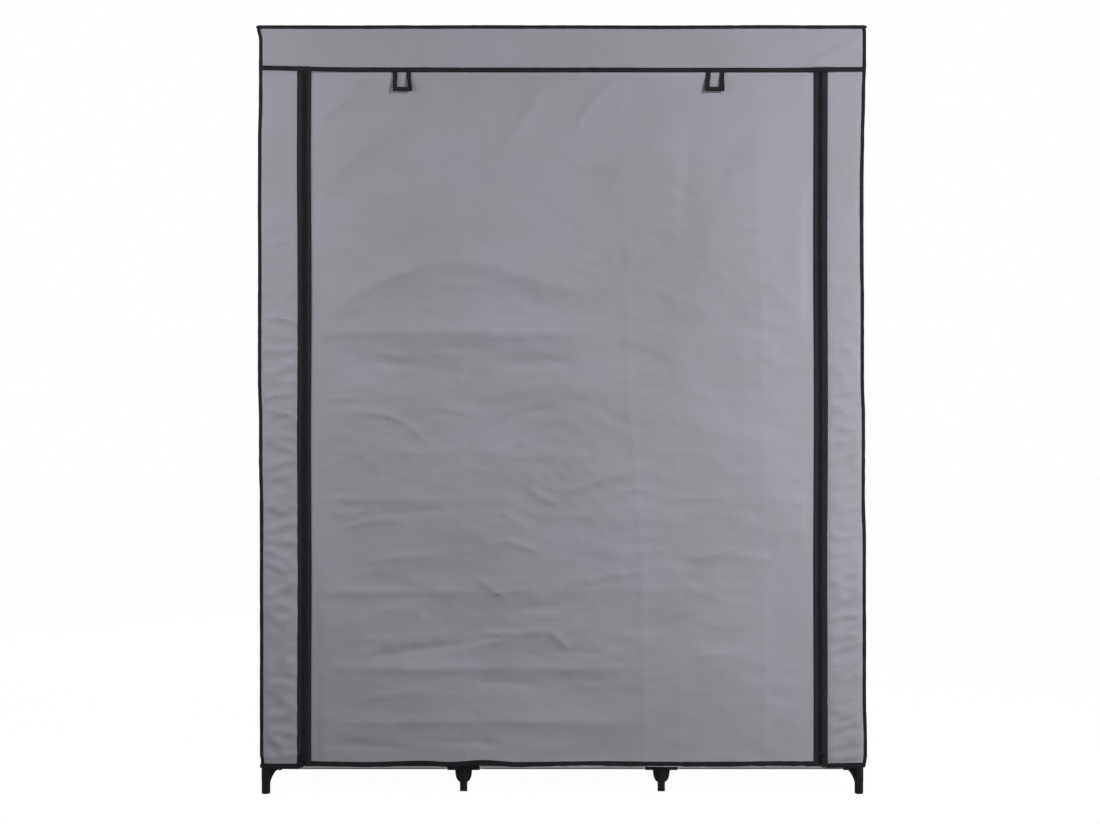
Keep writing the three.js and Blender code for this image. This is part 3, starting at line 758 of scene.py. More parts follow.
# How far out each front corner stands at these heights: -1 is the left one
edge_offsets = {
    -1: [(0.060, -0.0022), (0.076, -0.0022), (0.088, 0.0), (0.651, 0.0), (0.740, 0.0022), (0.828, 0.0022),
         (0.916, 0.0044), (1.447, 0.0044), (1.535, 0.0022), (1.668, 0.0020), (1.692, 0.0064)],
    1: [(0.060, 0.0010), (0.088, 0.0044), (0.121, 0.0044), (0.209, 0.0022), (0.563, 0.0022), (0.651, 0.0),
        (0.828, 0.0), (0.916, -0.0022), (1.093, -0.0022), (1.181, -0.0040), (1.358, -0.0040),
        (1.447, -0.0022), (1.535, 0.0), (1.624, 0.0022), (1.685, 0.0022), (1.700, 0.0)],
}


def eased(points, at):
    """A smooth line through given (place, value) points, level beyond its ends."""
    if at <= points[0][0]:
        return points[0][1]
    for (start, low), (end, high) in zip(points, points[1:]):
        if at <= end:
            share = (at - start) / (end - start)
            return low + (high - low) * share * share * (3 - 2 * share)
    return points[-1][1]


def corner_offset(side, height, from_front):
    """How far out the front corner's edge stands at a height; it dies away round the post."""
    near = max(0, 1 - from_front / corner_turn)
    return eased(edge_offsets[side], height) * near * near * (3 - 2 * near)


def fade(distance, reach):
    """0 at a seam, 1 from reach onwards."""
    share = min(1, max(0, distance / reach))
    return share * share * (3 - 2 * share)


def fold_profile(offset, reach):
    """A fold's height across its line: a crest, rounder the wider the fold, whose sides run out."""
    crest = crease_roundness * reach
    return math.exp(-(math.hypot(offset, crest) - crest) / reach)


def crumple(point, size, stretch, start, seed):
    """Short straight ridges that meet in corners, from -1 between them to 1 on them."""
    start += seed
    place = Vector((point.x / (size * stretch) + start, point.y / size - start, start))
    nearest, second = noise.voronoi(place)[0][:2]
    return 1 - 2 * min(1, (second - nearest) / crumple_width)


def puckers(point, seed=0):
    """The puckers of slack cloth, from about -1 to 1: long level ones, with crumples and fine ones."""
    bend = Vector((wrinkle(point, *bend_across, seed), wrinkle(point, *bend_up, seed)))
    bent = point + pucker_bend * bend
    long = 1 - 2 * abs(wrinkle(bent, *long_puckers, seed))
    dense = max(0, dense_least + wrinkle(point, *dense_patches, seed))
    ridges = crumple(bent, *crumples, seed) + finer_share * crumple(bent, *small_crumples, seed)
    fine = wrinkle(bent, *fine_puckers, seed) + finer_share * wrinkle(bent, *finest_puckers, seed)
    return long_share * long + crumple_share * ridges * dense + fine_share * fine


def packet_folds(folds, point):
    """The straight folds of the packet that the cover was sold in, broken into lengths by a slow change."""
    total = 0
    for way, at, rise in folds:
        off, along = (point.y - at, point.x) if way == "level" else (point.x - at, point.y)
        place = (along * packet_change_rates[0], at * packet_change_rates[1], packet_start)
        strength = packet_strength + packet_change * noise.noise(Vector(place))
        total += rise * strength * fold_profile(off, packet_reach)
    return total


def wall_lift(across, height, half_width, pucker, folds, seed):
    """How far a slack wall stands out: held along its edges, puckered and folded between them."""
    point = Vector((across, height))
    held = fade(half_width - abs(across), wall_side_reach) * fade(wall_top - height, wall_top_reach)
    held *= fade(height - hem_hold, wall_hem_reach)
    return held * (pucker * (wall_slack + puckers(point, seed)) + packet_folds(folds, point))


for side, sign in (("left", -1), ("right", 1)):

    def place_side(across, up, sign=sign):
        y = across - side_half if sign > 0 else side_half - across
        height = wall_bottom + up
        out = wall_lift(y, height, side_half, side_pucker, side_packet, 17 + sign)
        out += corner_offset(sign, height, y + side_half)
        return Vector((sign * (cover_half + out), y, height))

    side_size = (2 * side_half, wall_top - wall_bottom)
    side_shape = cloth_grid(side_size, panel_cell, place_side)
    side_panel = add_piece(f"cloth_{side}_side", thickened(side_shape), cloth)
    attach(side_panel, "root")
    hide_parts(f"{side}_side_panel")

# Back panel
# The back is one wide sheet that hangs slack between the rear posts, with the creases of the fold it was
# packed in.
back_pucker = 0.0070
back_packet = [("level", 0.42, 0.0016), ("level", 0.80, 0.0020), ("level", 1.18, 0.0016),
               ("upright", -0.335, 0.0018), ("upright", 0.0, 0.0022), ("upright", 0.335, 0.0018)]


def place_back(across, up):
    x = cover_half - across
    height = wall_bottom + up
    out = wall_lift(x, height, cover_half, back_pucker, back_packet, 41)
    return Vector((x, cover_depth_half + out, height))


back_size = (2 * cover_half, wall_top - wall_bottom)
back = add_piece("cloth_back", thickened(cloth_grid(back_size, panel_cell, place_back)), cloth)
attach(back, "root")
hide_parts("back_panel")

# Front band
# A band of the same cloth runs across the top of the front. Its lower edge is bound and covers the seam that
# the door hangs from.
band_low, band_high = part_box("front_band")
band_bottom = band_low.z
band_top = band_high.z
front_cell = 0.006
band_wrinkle = 0.0014
band_long_wrinkle = (0.03, 4.0, 7.7)
band_fine_wrinkle = (0.015, 2.0, 9.1)
band_bulge = 0.0013
band_hold = 0.0070
band_seam_reach = 0.02
band_end_reach = 0.014
photo_scale = 0.00221
photo_middle = 562.5
photo_floor = 794.6
millimetre = 0.001
crease_run_share = 0.15
crease_taper_share = 0.4
crease_reaches = 4

# Each crease: the two pixel places in the photograph that it runs between, how far it stands out or, below
# zero, in, how far it reaches to each side, and how far it bows, all three in millimetres
band_creases = [
    ((806, 66), (862, 42), 3.2, 12, 3),
    ((830, 62), (862, 54), -1.6, 9, 0),
    ((562, 60), (640, 52), 1.2, 16, 3),
]


def photo_place(pixel):
    """The place (x, z) on the front of the cover that a pixel of the photograph shows."""
    return Vector(((pixel[0] - photo_middle) * photo_scale, (photo_floor - pixel[1]) * photo_scale))


def laid_creases(entries):
    """The creases of a list, with their lines worked out on the front of the cover."""
    creases = []
    for start_pixel, end_pixel, rise, reach, bow in entries:
        start = photo_place(start_pixel)
        line = photo_place(end_pixel) - start
        creases.append({
            "start": start,
            "along": line.normalized(),
            "length": line.length,
            "normal": Vector((-line.y, line.x)).normalized(),
            "rise": rise * millimetre,
            "reach": reach * millimetre,
            "bow": bow * millimetre,
        })
    return creases


def crease_lift(creases, point):
    """How far the creases lift the cloth at a point of the front."""
    total = 0
    for crease in creases:
        offset = point - crease["start"]
        share = offset.dot(crease["along"]) / crease["length"]
        if not -crease_run_share < share < 1 + crease_run_share:
            continue
        bowed = offset.dot(crease["normal"]) - crease["bow"] * math.sin(math.pi * min(1, max(0, share)))
        if abs(bowed) > crease_reaches * crease["reach"]:
            continue
        taper = fade(share + crease_run_share, crease_taper_share)
        taper *= fade(1 + crease_run_share - share, crease_taper_share)
        total += crease["rise"] * taper * fold_profile(bowed, crease["reach"] / 2)
    return total


band_folds = laid_creases(band_creases)


def place_band(across, up):
    share = across / (2 * cover_half)
    height = band_bottom + up
    sides = share * corner_offset(1, height, 0) - (1 - share) * corner_offset(-1, height, 0)
    held = fade(up, band_seam_reach) * fade(band_top - height, band_seam_reach)
    held *= fade(min(across, 2 * cover_half - across) - band_hold, band_end_reach)
    point = Vector((across - cover_half, height))
    slack = wrinkle(point, *band_long_wrinkle) + finer_share * wrinkle(point, *band_fine_wrinkle)
    out = held * (band_bulge + band_wrinkle * slack + crease_lift(band_folds, point))
    return Vector((across - cover_half + sides, cloth_front - out, height))


band_size = (2 * cover_half, band_top - band_bottom)
band = add_piece("cloth_front_band", thickened(cloth_grid(band_size, front_cell, place_band)), cloth)
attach(band, "root")
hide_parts("front_band")

# Door
# The door is one sheet that hangs from the seam under the band, between the two zips. Its creases are those
# of the square packet that it was sold in, its puckers those of a cover that stands slack on its frame.
door_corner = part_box("door_panel")[1]
door_top = door_corner.z
door_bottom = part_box("left_zip_door_tape")[0].z
door_half = door_corner.x
door_tuck = 0.0040

door_creases = [
    ((330, 312), (570, 292), 9.5, 74, 88),
    ((318, 333), (618, 332), 8.5, 62, 0),
    ((480, 338), (566, 336), 3.2, 34, 0),
    ((345, 362), (470, 374), -3.4, 40, 6),
    ((500, 366), (570, 362), -4.2, 30, 5),
    ((475, 400), (560, 384), 2.8, 26, 4),
    ((314, 124), (376, 84), 9.0, 26, 4),
    ((322, 186), (436, 108), 11.0, 42, 12),
    ((484, 172), (546, 84), 6.4, 38, -6),
    ((624, 76), (574, 132), 6.6, 36, -10),
    ((690, 86), (684, 225), -3.4, 54, 4),
    ((738, 140), (692, 222), -2.6, 50, 6),
    ((487, 112), (486, 168), 1.6, 12, 0),
    ((322, 402), (360, 398), 3.4, 14, 4),
    ((350, 410), (405, 420), 4.4, 12, 2),
    ((392, 416), (424, 438), 4.0, 10, 3),
    ((428, 412), (474, 420), -3.0, 10, 3),
    ((480, 434), (560, 404), -3.4, 22, 6),
    ((562, 398), (626, 424), -3.0, 20, 6),
    ((560, 393), (640, 378), 3.2, 22, 4),
    ((528, 487), (563, 507), 3.6, 8, -3),
    ((565, 492), (638, 470), 3.4, 14, 3),
    ((318, 500), (458, 499), 2.6, 12, 0),
    ((358, 516), (462, 508), -3.0, 16, 0),
    ((335, 530), (400, 518), 2.4, 12, 4),
    ((500, 512), (524, 524), 2.4, 8, 0),
    ((502, 540), (539, 552), 4.2, 8, 3),
    ((365, 562), (440, 556), 2.6, 16, 5),
    ((476, 579), (508, 600), 3.0, 8, 2),
    ((486, 594), (522, 590), 2.2, 7, 0),
    ((572, 584), (640, 572), 3.0, 12, 3),
    ((318, 592), (476, 592), 3.4, 26, 0),
    ((505, 612), (560, 606), -2.8, 12, 4),
    ((481, 633), (552, 630), 4.2, 9, -3),
    ((548, 630), (568, 648), 4.0, 9, 2),
    ((376, 656), (471, 643), -4.2, 14, 2),
    ((470, 648), (520, 638), 2.6, 9, 3),
    ((550, 652), (602, 653), -3.4, 12, 0),
    ((315, 668), (640, 668), 3.0, 26, 0),
    ((476, 682), (540, 686), -2.6, 14, 3),
    ((360, 700), (430, 694), 2.6, 16, 5),
    ((655, 500), (725, 498), 2.4, 12, 2),
    ((656, 620), (696, 608), 2.4, 12, 2),
    ((690, 560), (745, 548), 2.2, 18, 3),
    ((695, 655), (760, 650), 2.2, 18, -3),
    ((800, 400), (762, 412), 2.6, 12, 0),
    ((330, 722), (640, 724), 3.6, 34, 6),
    ((330, 744), (410, 748), -2.8, 16, 3),
    ((440, 742), (500, 745), -3.2, 14, 3),
]
door_folds = laid_creases(door_creases)

# The packet's long folds: level ones at these heights of the photograph, upright ones along these lines of
# (height, place) in it, each with how far it stands out in millimetres
level_folds = [(412, 0.9), (499, 1.1), (590, 0.9), (668, 0.8)]
upright_folds = [
    ([(70, 462), (400, 462), (760, 466)], 1.2),
    ([(70, 622), (330, 627), (600, 642), (760, 645)], 1.7),
    ([(70, 674), (240, 674), (760, 680)], 0.8),
    ([(70, 755), (400, 762), (760, 766)], 1.3),
]
level_reach = 0.020
level_strength = 0.6
level_change = 1.6
level_change_rate = 6
level_start = 2.5
upright_reach = 0.014
upright_strength = 0.7
upright_change = 0.6
upright_change_rate = 4
upright_start = 7.5

# How strong the puckers are at these heights
pucker_strengths = [(0.10, 0.55), (0.35, 0.90), (0.90, 1.1), (1.15, 1.2), (1.35, 1.1), (1.55, 0.8)]
pucker_rise = 0.0056
wide_billows = (0.26, 1.2, 21.4)
narrow_billows = (0.10, 1.4, 25.1)
wide_billow_share = 0.9
narrow_billow_share = 0.55
door_billow = 0.0060

# How far the hem is drawn up, and how much of the flare above it shows, at these places across the photograph
hem_waves = [(312, 0.0), (370, -0.0010), (423, 0.0024), (450, 0.0), (482, 0.0042), (520, -0.0002),
             (600, 0.0008), (680, -0.0006), (760, 0.0006), (815, 0.0)]
flare_shares = [(312, 0.3), (450, 0.1), (520, 0.5), (565, 1.0), (640, 0.5), (700, 0.9), (815, 0.8)]
door_flare = 0.0036
door_flare_height = 0.013
door_softness = 0.0012
door_seam_reach = 0.030
billow_side_reach = 0.16
billow_top_reach = 0.22
hem_wave_power = 6
loop_hold = 0.020
loop_reach = 0.05
loop_middles = [box_middle("left_door_loop"), box_middle("right_door_loop")]


def packet_lift(point):
    """The long folds of the packet, broken into lengths by a slow change along them."""
    total = 0
    for pixel_y, rise in level_folds:
        height = (photo_floor - pixel_y) * photo_scale
        place = Vector((point.x * level_change_rate, pixel_y, level_start))
        strength = level_strength + level_change * noise.noise(place)
        total += rise * millimetre * strength * fold_profile(point.y - height, level_reach / 2)
    for route, rise in upright_folds:
        pixel_y = photo_floor - point.y / photo_scale
        x = (eased(route, pixel_y) - photo_middle) * photo_scale
        place = Vector((route[0][1], point.y * upright_change_rate, upright_start))
        strength = upright_strength + upright_change * noise.noise(place)
        total += rise * millimetre * strength * fold_profile(point.x - x, upright_reach / 2)
    return total


def pucker_lift(point):
    """The door's puckers, strong low on it and weaker near its top, over slow billows."""
    strength = eased(pucker_strengths, point.y)
    slow = wide_billow_share * wrinkle(point, *wide_billows)
    slow += narrow_billow_share * wrinkle(point, *narrow_billows)
    return pucker_rise * (strength * puckers(point) + slow)


def hem_lift(x):
    """How far the door's hem is drawn up at x: it hangs in slow waves between the feet."""
    return eased(hem_waves, x / photo_scale + photo_middle)


# The zips wander a little from their straight lines, and the tapes part below the closed sliders
zip_centre = (abs(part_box("left_zip_door_tape")[0].x) + abs(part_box("left_zip_fixed_tape")[1].x)) / 2
tape_part_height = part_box("left_zip_slider")[0].z
tape_part_width = 0.012
tape_part_power = 1.6
zip_wander = {
    -1: [(0.06, 0.0), (0.20, 0.0), (0.45, 0.0010), (0.80, -0.0004), (1.10, 0.0010), (1.40, -0.0006),
         (1.60, 0.0)],
    1: [(0.06, 0.0), (0.20, 0.0), (0.50, -0.0008), (0.85, 0.0006), (1.20, -0.0008), (1.60, 0.0)],
}


def zip_x(side, height):
    return side * zip_centre + eased(zip_wander[side], height)


def zip_parting(height):
    """How far each tape's inner edge turns away from the zip's middle below the slider."""
    share = max(0, (tape_part_height - height) / tape_part_height)
    return tape_part_width * share**tape_part_power


def hem_flare(x, height):
    """How far the cloth stands out just above the hem, whose stiff binding holds it away from the frame."""
    share = eased(flare_shares, x / photo_scale + photo_middle)
    return door_flare * share * math.exp((door_bottom - height) / door_flare_height)


def kept_out(lift, softness):
    """Cloth that lies on the frame can only stand out from it: dips below nothing are rounded off."""
    return (lift + math.hypot(lift, softness)) / 2


def loop_clearance(x, height):
    """0 behind each loop, whose tape holds the cloth back, and 1 away from them."""
    share = 1
    for middle in loop_middles:
        share *= fade(math.hypot(x - middle.x, height - middle.z) - loop_hold, loop_reach)
    return share


def door_lift(x, height):
    """How far the door's cloth stands out of its plane."""
    point = Vector((x, height))
    side, below = door_half - abs(x), door_top - height
    held = fade(side, door_seam_reach) * fade(below, door_seam_reach) * loop_clearance(x, height)
    slack = door_billow * fade(side, billow_side_reach) * fade(below, billow_top_reach)
    folds = held * (crease_lift(door_folds, point) + packet_lift(point) + pucker_lift(point))
    return held * (kept_out(slack + folds, door_softness) + hem_flare(x, height))


def place_door(across, up):
    share = up / (door_top - door_bottom)
    x = across - door_half - door_tuck
    height = door_bottom + up + hem_lift(x) * (1 - share) ** hem_wave_power
    side = -1 if x < 0 else 1
    shift = (zip_x(side, height) - side * zip_centre) * fade(abs(x) - door_half / 2, door_half / 2)
    return Vector((x + shift, cloth_front - door_lift(x, height), height))


door_size = (2 * (door_half + door_tuck), door_top - door_bottom)
door_cell = 0.0065
door = add_piece("cloth_door", thickened(cloth_grid(door_size, door_cell, place_door)), cloth)
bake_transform(door)
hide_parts("door_panel")

# Front strips
# A narrow strip of the cloth fills the front between each zip and the corner. Its outer edge is bound
# together with the side panel at the corner.
strip_low, strip_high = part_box("right_front_strip")
strip_inner = strip_low.x
strip_bottom = strip_low.z
strip_top = strip_high.z
strip_wrinkle = 0.0042
strip_ridges = (0.035, 2.2, 51)
strip_fine_wrinkle = (0.014, 2.0, 53)
strip_slant = 0.3
strip_strengths = [(0.1, 1.0), (0.9, 1.0), (1.2, 0.5), (1.6, 0.3)]
side_hold = 0.0060
strip_inner_reach = 0.012
strip_outer_reach = 0.014
strip_top_reach = 0.03
strip_hem_reach = 0.02
strip_creases = [
    ((828, 420), (862, 398), 4.0, 9, 2),
    ((828, 404), (862, 392), -3.0, 8, 2),
    ((266, 408), (296, 418), 3.4, 7, 2),
    ((264, 420), (296, 438), -3.0, 8, 3),
    ((264, 318), (296, 320), 3.0, 7, 0),
    ((266, 396), (296, 394), 3.0, 7, 0),
    ((272, 756), (297, 748), -2.6, 8, 0),
    ((285, 762), (297, 756), -2.0, 5, 0),
]
strip_folds = laid_creases(strip_creases)

for side, sign in (("left", -1), ("right", 1)):

    def place_strip(across, up, sign=sign):
        height = strip_bottom + up
        inner = abs(zip_x(sign, height)) + strip_inner - zip_centre - door_tuck
        outer = cover_half + corner_offset(sign, height, 0)
        share = across / strip_size[0]
        x = outer + (inner - outer) * share if sign < 0 else inner + (outer - inner) * share
        point = Vector((x, height - strip_slant * x if sign > 0 else height))
        held = fade(x - inner, strip_inner_reach) * fade(outer - x - side_hold, strip_outer_reach)
        held *= fade(strip_top - height, strip_top_reach)
        held *= fade(height - strip_bottom - side_hold, strip_hem_reach)
        slack = 1 - 2 * abs(wrinkle(point, *strip_ridges, sign))
        slack += finer_share * wrinkle(point, *strip_fine_wrinkle)
        folds = strip_wrinkle * eased(strip_strengths, height) * slack
        folds += crease_lift(strip_folds, Vector((sign * x, height)))
        lift = held * kept_out(folds, door_softness)
        return Vector((sign * x, cloth_front - lift, height))

    strip_size = (cover_half - strip_inner + door_tuck, strip_top - strip_bottom)
    strip_shape = cloth_grid(strip_size, front_cell, place_strip)
    strip = add_piece(f"cloth_{side}_strip", thickened(strip_shape), cloth)
    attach(strip, "root")
    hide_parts(f"{side}_front_strip")

# Bindings
# Black woven tape is folded over every edge and seam of the cover and sewn through. It stands a little proud
# of the cloth and puckers where the thread draws it in.
tape_dark = (0.0050, 0.0046, 0.0058, 1)
tape_light = (0.0095, 0.0089, 0.0108, 1)
stitch_pitch = 0.0034
thread_width = 0.0005
binding_thickness = 0.0030
binding_cell = 0.006
binding_sides = 14
binding_pucker = 0.0004
binding_pucker_rate = 55
pucker_out_share = 0.6
binding_wander = 0.0005
binding_wander_rate = 7
binding_end_share = 0.55
binding_taper_share = 0.6
top_binding_width = 0.0084
side_binding_width = 0.0080
hem_binding_width = 0.0100
corner_nub = {-1: 0.0085, 1: 0.0040}

# Woven ribs across a tape, with its warp threads along it
weave, weave_in = new_group("tape_weave", {"Vector": "Vector", "Pitch": "Float"}, {"Height": "Float"})
add_node(weave, "NodeGroupOutput", {"Height": add_math(weave, "ADD", *add_waves(weave, weave_in, "SINE"))})

# A row of stitches along a tape: the mask is 1 on the thread
stitches, stitches_in = new_group(
    "stitch_row", {"Vector": "Vector", "Row": "Float", "Pitch": "Float", "Thread": "Float"}, {"Mask": "Float"}
)
stitch_place = add_node(stitches, "ShaderNodeSeparateXYZ", {"Vector": stitches_in["Vector"]}).outputs
stitch_offset = add_math(stitches, "SUBTRACT", stitch_place["Y"], stitches_in["Row"])
stitch_away = add_math(stitches, "ABSOLUTE", stitch_offset)
stitch_distance = add_math(stitches, "DIVIDE", stitch_away, stitches_in["Thread"])
stitch_turns = add_math(stitches, "DIVIDE", stitch_place["X"], stitches_in["Pitch"])
stitch_thread = add_node(
    stitches, "ShaderNodeMapRange",
    {"Value": stitch_distance, "From Min": 0.6, "From Max": 1.2, "To Min": 1.0, "To Max": 0.0},
)
stitch_gap = add_node(
    stitches, "ShaderNodeMapRange",
    {"Value": add_math(stitches, "FRACT", stitch_turns), "From Min": 0.72, "From Max": 0.82, "To Min": 1.0,
     "To Max": 0.0},
)
stitch_mask = add_math(stitches, "MULTIPLY", stitch_thread.outputs["Result"], stitch_gap.outputs["Result"])
add_node(stitches, "NodeGroupOutput", {"Mask": stitch_mask})


def tape_material(name, pitch, row, dark, light):
    """Black woven tape with one row of stitches, read from the strip's own flat UV map."""
    material, flat = new_finish(
        name,
        {"Patch Scale": 40.0, "Grain Scale": 1500.0, "Dark": dark, "Light": light, "Low": 0.62, "High": 0.80},
        {"Specular IOR Level": 0.12, "Sheen Weight": 0.02},
        flat=True,
    )
    ribs = add_node(
        material.node_tree, "ShaderNodeGroup", {"Vector": flat, "Pitch": pitch}, node_tree=weave
    )
    thread = add_node(
        material.node_tree, "ShaderNodeGroup",
        {"Vector": flat, "Row": row, "Pitch": stitch_pitch, "Thread": thread_width}, node_tree=stitches,
    )
    add_bump(material, ribs.outputs["Height"], 0.0001, 0.5)
    add_bump(material, thread.outputs["Mask"], 0.0004, 0.8)
    return material


binding_tape = tape_material("black_binding_tape", 0.0009, 0.0045, tape_dark, tape_light)


def rounded(value, power):
    return math.copysign(abs(value) ** power, value)


def tape_strip(length, route, cell, sides, power=0.45):
    """A closed strip; route(along) gives its middle, its half width across and its half thickness out."""
    shape = bmesh.new()
    flat = shape.loops.layers.uv.new("flat_cloth")
    steps = max(2, round(length / cell))
    bmesh.ops.create_grid(shape, x_segments=steps, y_segments=sides, size=0.5, calc_uvs=True)
    _, across, out = route(length / 2)
    girth = 4 * (across.length + out.length)
    for face in shape.faces:
        for loop in face.loops:
            loop[flat].uv = ((loop.vert.co.x + 0.5) * length, (loop.vert.co.y + 0.5) * girth)
    for vert in shape.verts:
        middle, across, out = route((vert.co.x + 0.5) * length)
        turn = (vert.co.y + 0.5) * 2 * math.pi
        vert.co = middle + across * rounded(math.cos(turn), power) + out * rounded(math.sin(turn), power)
    bmesh.ops.remove_doubles(shape, verts=shape.verts, dist=merge_distance)
    bmesh.ops.holes_fill(shape, edges=[edge for edge in shape.edges if edge.is_boundary], sides=0)
    bmesh.ops.recalc_face_normals(shape, faces=shape.faces)
    return shape


def add_binding(name, length, middle_at, across, out, width):
    """A length of binding; middle_at(along) is its middle line, and it tapers in at both ends."""
    seed = length + width * 1000

    def route(along):
        pucker = binding_pucker * noise.noise(Vector((along * binding_pucker_rate, seed, 0)))
        wander = binding_wander * noise.noise(Vector((along * binding_wander_rate, 0, seed)))
        from_end = min(1, min(along, length - along) / (binding_taper_share * width))
        full = binding_end_share + (1 - binding_end_share) * from_end
        half = (width / 2 + pucker) * full
        thick = (binding_thickness / 2 + pucker * pucker_out_share) * full
        return middle_at(along) + across * wander, across * half, out * thick

    binding = add_piece(name, tape_strip(length, route, binding_cell, binding_sides), binding_tape)
    return binding


up = Vector((0, 0, 1))
sideways = Vector((1, 0, 0))
backward = Vector((0, 1, 0))
cloth_middle = cloth_thickness / 2
front_line = cloth_front + cloth_middle
rear_line = cover_depth_half - cloth_middle
side_line = cover_half - cloth_middle

# Top bindings: round the roof's front, rear and side edges
top_overlap = 0.0004
top_droop = 0.0008
top_droop_rate = 3
top_line = roof_high.z - top_binding_width / 2 + top_overlap
top_length = 2 * cover_half + corner_nub[-1] + corner_nub[1]

for row, y, out in (("front", front_line, -backward), ("rear", rear_line, backward)):

    def top_edge(along, y=y):
        x = along - cover_half - corner_nub[-1]
        droop = top_droop * noise.noise(Vector((x * top_droop_rate, y, 0)))
        return Vector((x, y, top_line - droop))

    top_binding = add_binding(f"top_binding_{row}", top_length, top_edge, up, out, top_binding_width)
    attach(top_binding, "root")

for side, sign in (("left", -1), ("right", 1)):

    def top_side_edge(along, sign=sign):
        return Vector((sign * side_line, along - cover_depth_half, top_line))

    top_side = add_binding(
        f"top_binding_{side}", 2 * cover_depth_half, top_side_edge, up, sideways * sign, top_binding_width
    )
    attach(top_side, "root")

# Corner bindings: down the four upright corners
corner_overlap = 0.0005
corner_short = 0.001
corner_length = wall_top - wall_bottom - corner_short

for side, sign in (("left", -1), ("right", 1)):

    def front_corner(along, sign=sign):
        height = wall_bottom + along
        x = cover_half + corner_offset(sign, height, 0) - side_binding_width / 2 + corner_overlap
        return Vector((sign * x, front_line, height))

    def rear_corner(along, sign=sign):
        x = cover_half - side_binding_width / 2 + corner_overlap
        return Vector((sign * x, rear_line, wall_bottom + along))

    corner = add_binding(
        f"corner_binding_front_{side}", corner_length, front_corner, sideways, -backward, side_binding_width
    )
    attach(corner, "root")
    corner = add_binding(
        f"corner_binding_rear_{side}", corner_length, rear_corner, -sideways, backward, side_binding_width
    )
    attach(corner, "root")

# Hem bindings: along the lower edges of the band, the strips, the sides and the back, and of the door
hem_overlap = 0.0006
hem_inset = 0.0010
band_hem_rise = [(-0.6685, 0.0045), (-0.45, 0.0006), (0.0, 0.0), (0.45, -0.0004), (0.6685, 0.0010)]
band_hem_rest = 0.0014
zip_cover_rise = 0.0022
zip_cover_reach = 0.030
strip_hem_widths = {-1: 0.0120, 1: 0.0108}
strip_hem_heights = {-1: (0.0628, 0.0632), 1: (0.0639, 0.0659)}
strip_hem_rest = 0.0004
strip_hem_tuck = 0.0085
strip_hem_inner = strip_inner - strip_hem_tuck
door_hem_width = 0.0116
door_hem_overlap = 0.0002
door_hem_gap = 0.0022
door_hem_half = zip_centre - door_hem_gap


def band_hem(along):
    x = along - cover_half
    over_zip = zip_cover_rise * math.exp(-(((abs(x) - zip_centre) / zip_cover_reach) ** 2))
    height = band_bottom + hem_binding_width / 2 - hem_overlap + eased(band_hem_rise, x)
    return Vector((x, front_line - band_hem_rest - over_zip, height))


hem = add_binding("band_hem_binding", 2 * cover_half, band_hem, up, -backward, hem_binding_width)
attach(hem, "root")

strip_hem_length = cover_half - strip_hem_inner
side_hem_length = 2 * (cover_depth_half - hem_inset)
for side, sign in (("left", -1), ("right", 1)):
    def strip_hem(along, sign=sign):
        share = along / strip_hem_length
        inner_height, outer_height = strip_hem_heights[sign]
        height = inner_height * (1 - share) + outer_height * share
        return Vector((sign * (strip_hem_inner + along), front_line - strip_hem_rest, height))

    hem = add_binding(
        f"strip_hem_binding_{side}", strip_hem_length, strip_hem, up, -backward, strip_hem_widths[sign]
    )
    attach(hem, "root")

    def side_hem(along, sign=sign):
        height = wall_bottom + hem_binding_width / 2 - hem_overlap
        x = side_line + corner_offset(sign, height, along)
        return Vector((sign * x, along - cover_depth_half + hem_inset, height))

    hem = add_binding(
        f"side_hem_binding_{side}", side_hem_length, side_hem, up, sideways * sign, hem_binding_width
    )
    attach(hem, "root")


def back_hem(along):
    return Vector((along - cover_half, rear_line, wall_bottom + hem_binding_width / 2 - hem_overlap))


hem = add_binding("back_hem_binding", 2 * cover_half, back_hem, up, backward, hem_binding_width)
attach(hem, "root")


def door_hem(along):
    x = along - door_hem_half
    height = door_bottom + door_hem_width / 2 - door_hem_overlap + hem_lift(x)
    lift = door_lift(x, door_bottom + door_hem_width / 2)
    return Vector((x, front_line - lift, height))


hem = add_binding("door_hem_binding", 2 * door_hem_half, door_hem, up, -backward, door_hem_width)
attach(hem, "door")

# Zips
# Each zip is two woven tapes with a nylon coil on each inner edge. One tape is sewn to the front strip, the
# other to the door, and the closed coils mesh down the middle.
zip_tape_dark = (0.0090, 0.0084, 0.0100, 1)
zip_tape_light = (0.0150, 0.0142, 0.0165, 1)
zip_tape = tape_material("black_zip_tape", 0.0007, 0.0220, zip_tape_dark, zip_tape_light)
zip_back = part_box("left_zip_fixed_tape")[1].y
tape_width = 0.0146
tape_thickness = 0.0011
tape_tuck = 0.0070
tape_ripple = 0.0004
tape_ripple_rate = 18
tape_cell = 0.008
tape_sides = 16
coil_dark = (0.0040, 0.0038, 0.0048, 1)
coil_light = (0.0075, 0.0070, 0.0085, 1)
coil_split = 0.0016
coil_pitch = 0.0014
coil_wire = 0.00035
coil_reach = 0.0021
coil_rise = 0.00085
coil_overlap = 0.0004
coil_start = 0.004
coil_steps = 8
coil_sides = 5
coil_look_ahead = 0.01

nylon, _ = new_finish(
    "black_nylon_coil",
    {"Patch Scale": 80.0, "Grain Scale": 2500.0, "Dark": coil_dark, "Light": coil_light, "Low": 0.42,
     "High": 0.55},
    {"Specular IOR Level": 0.2},
    grain_bump=(0.00005, 0.3),
)


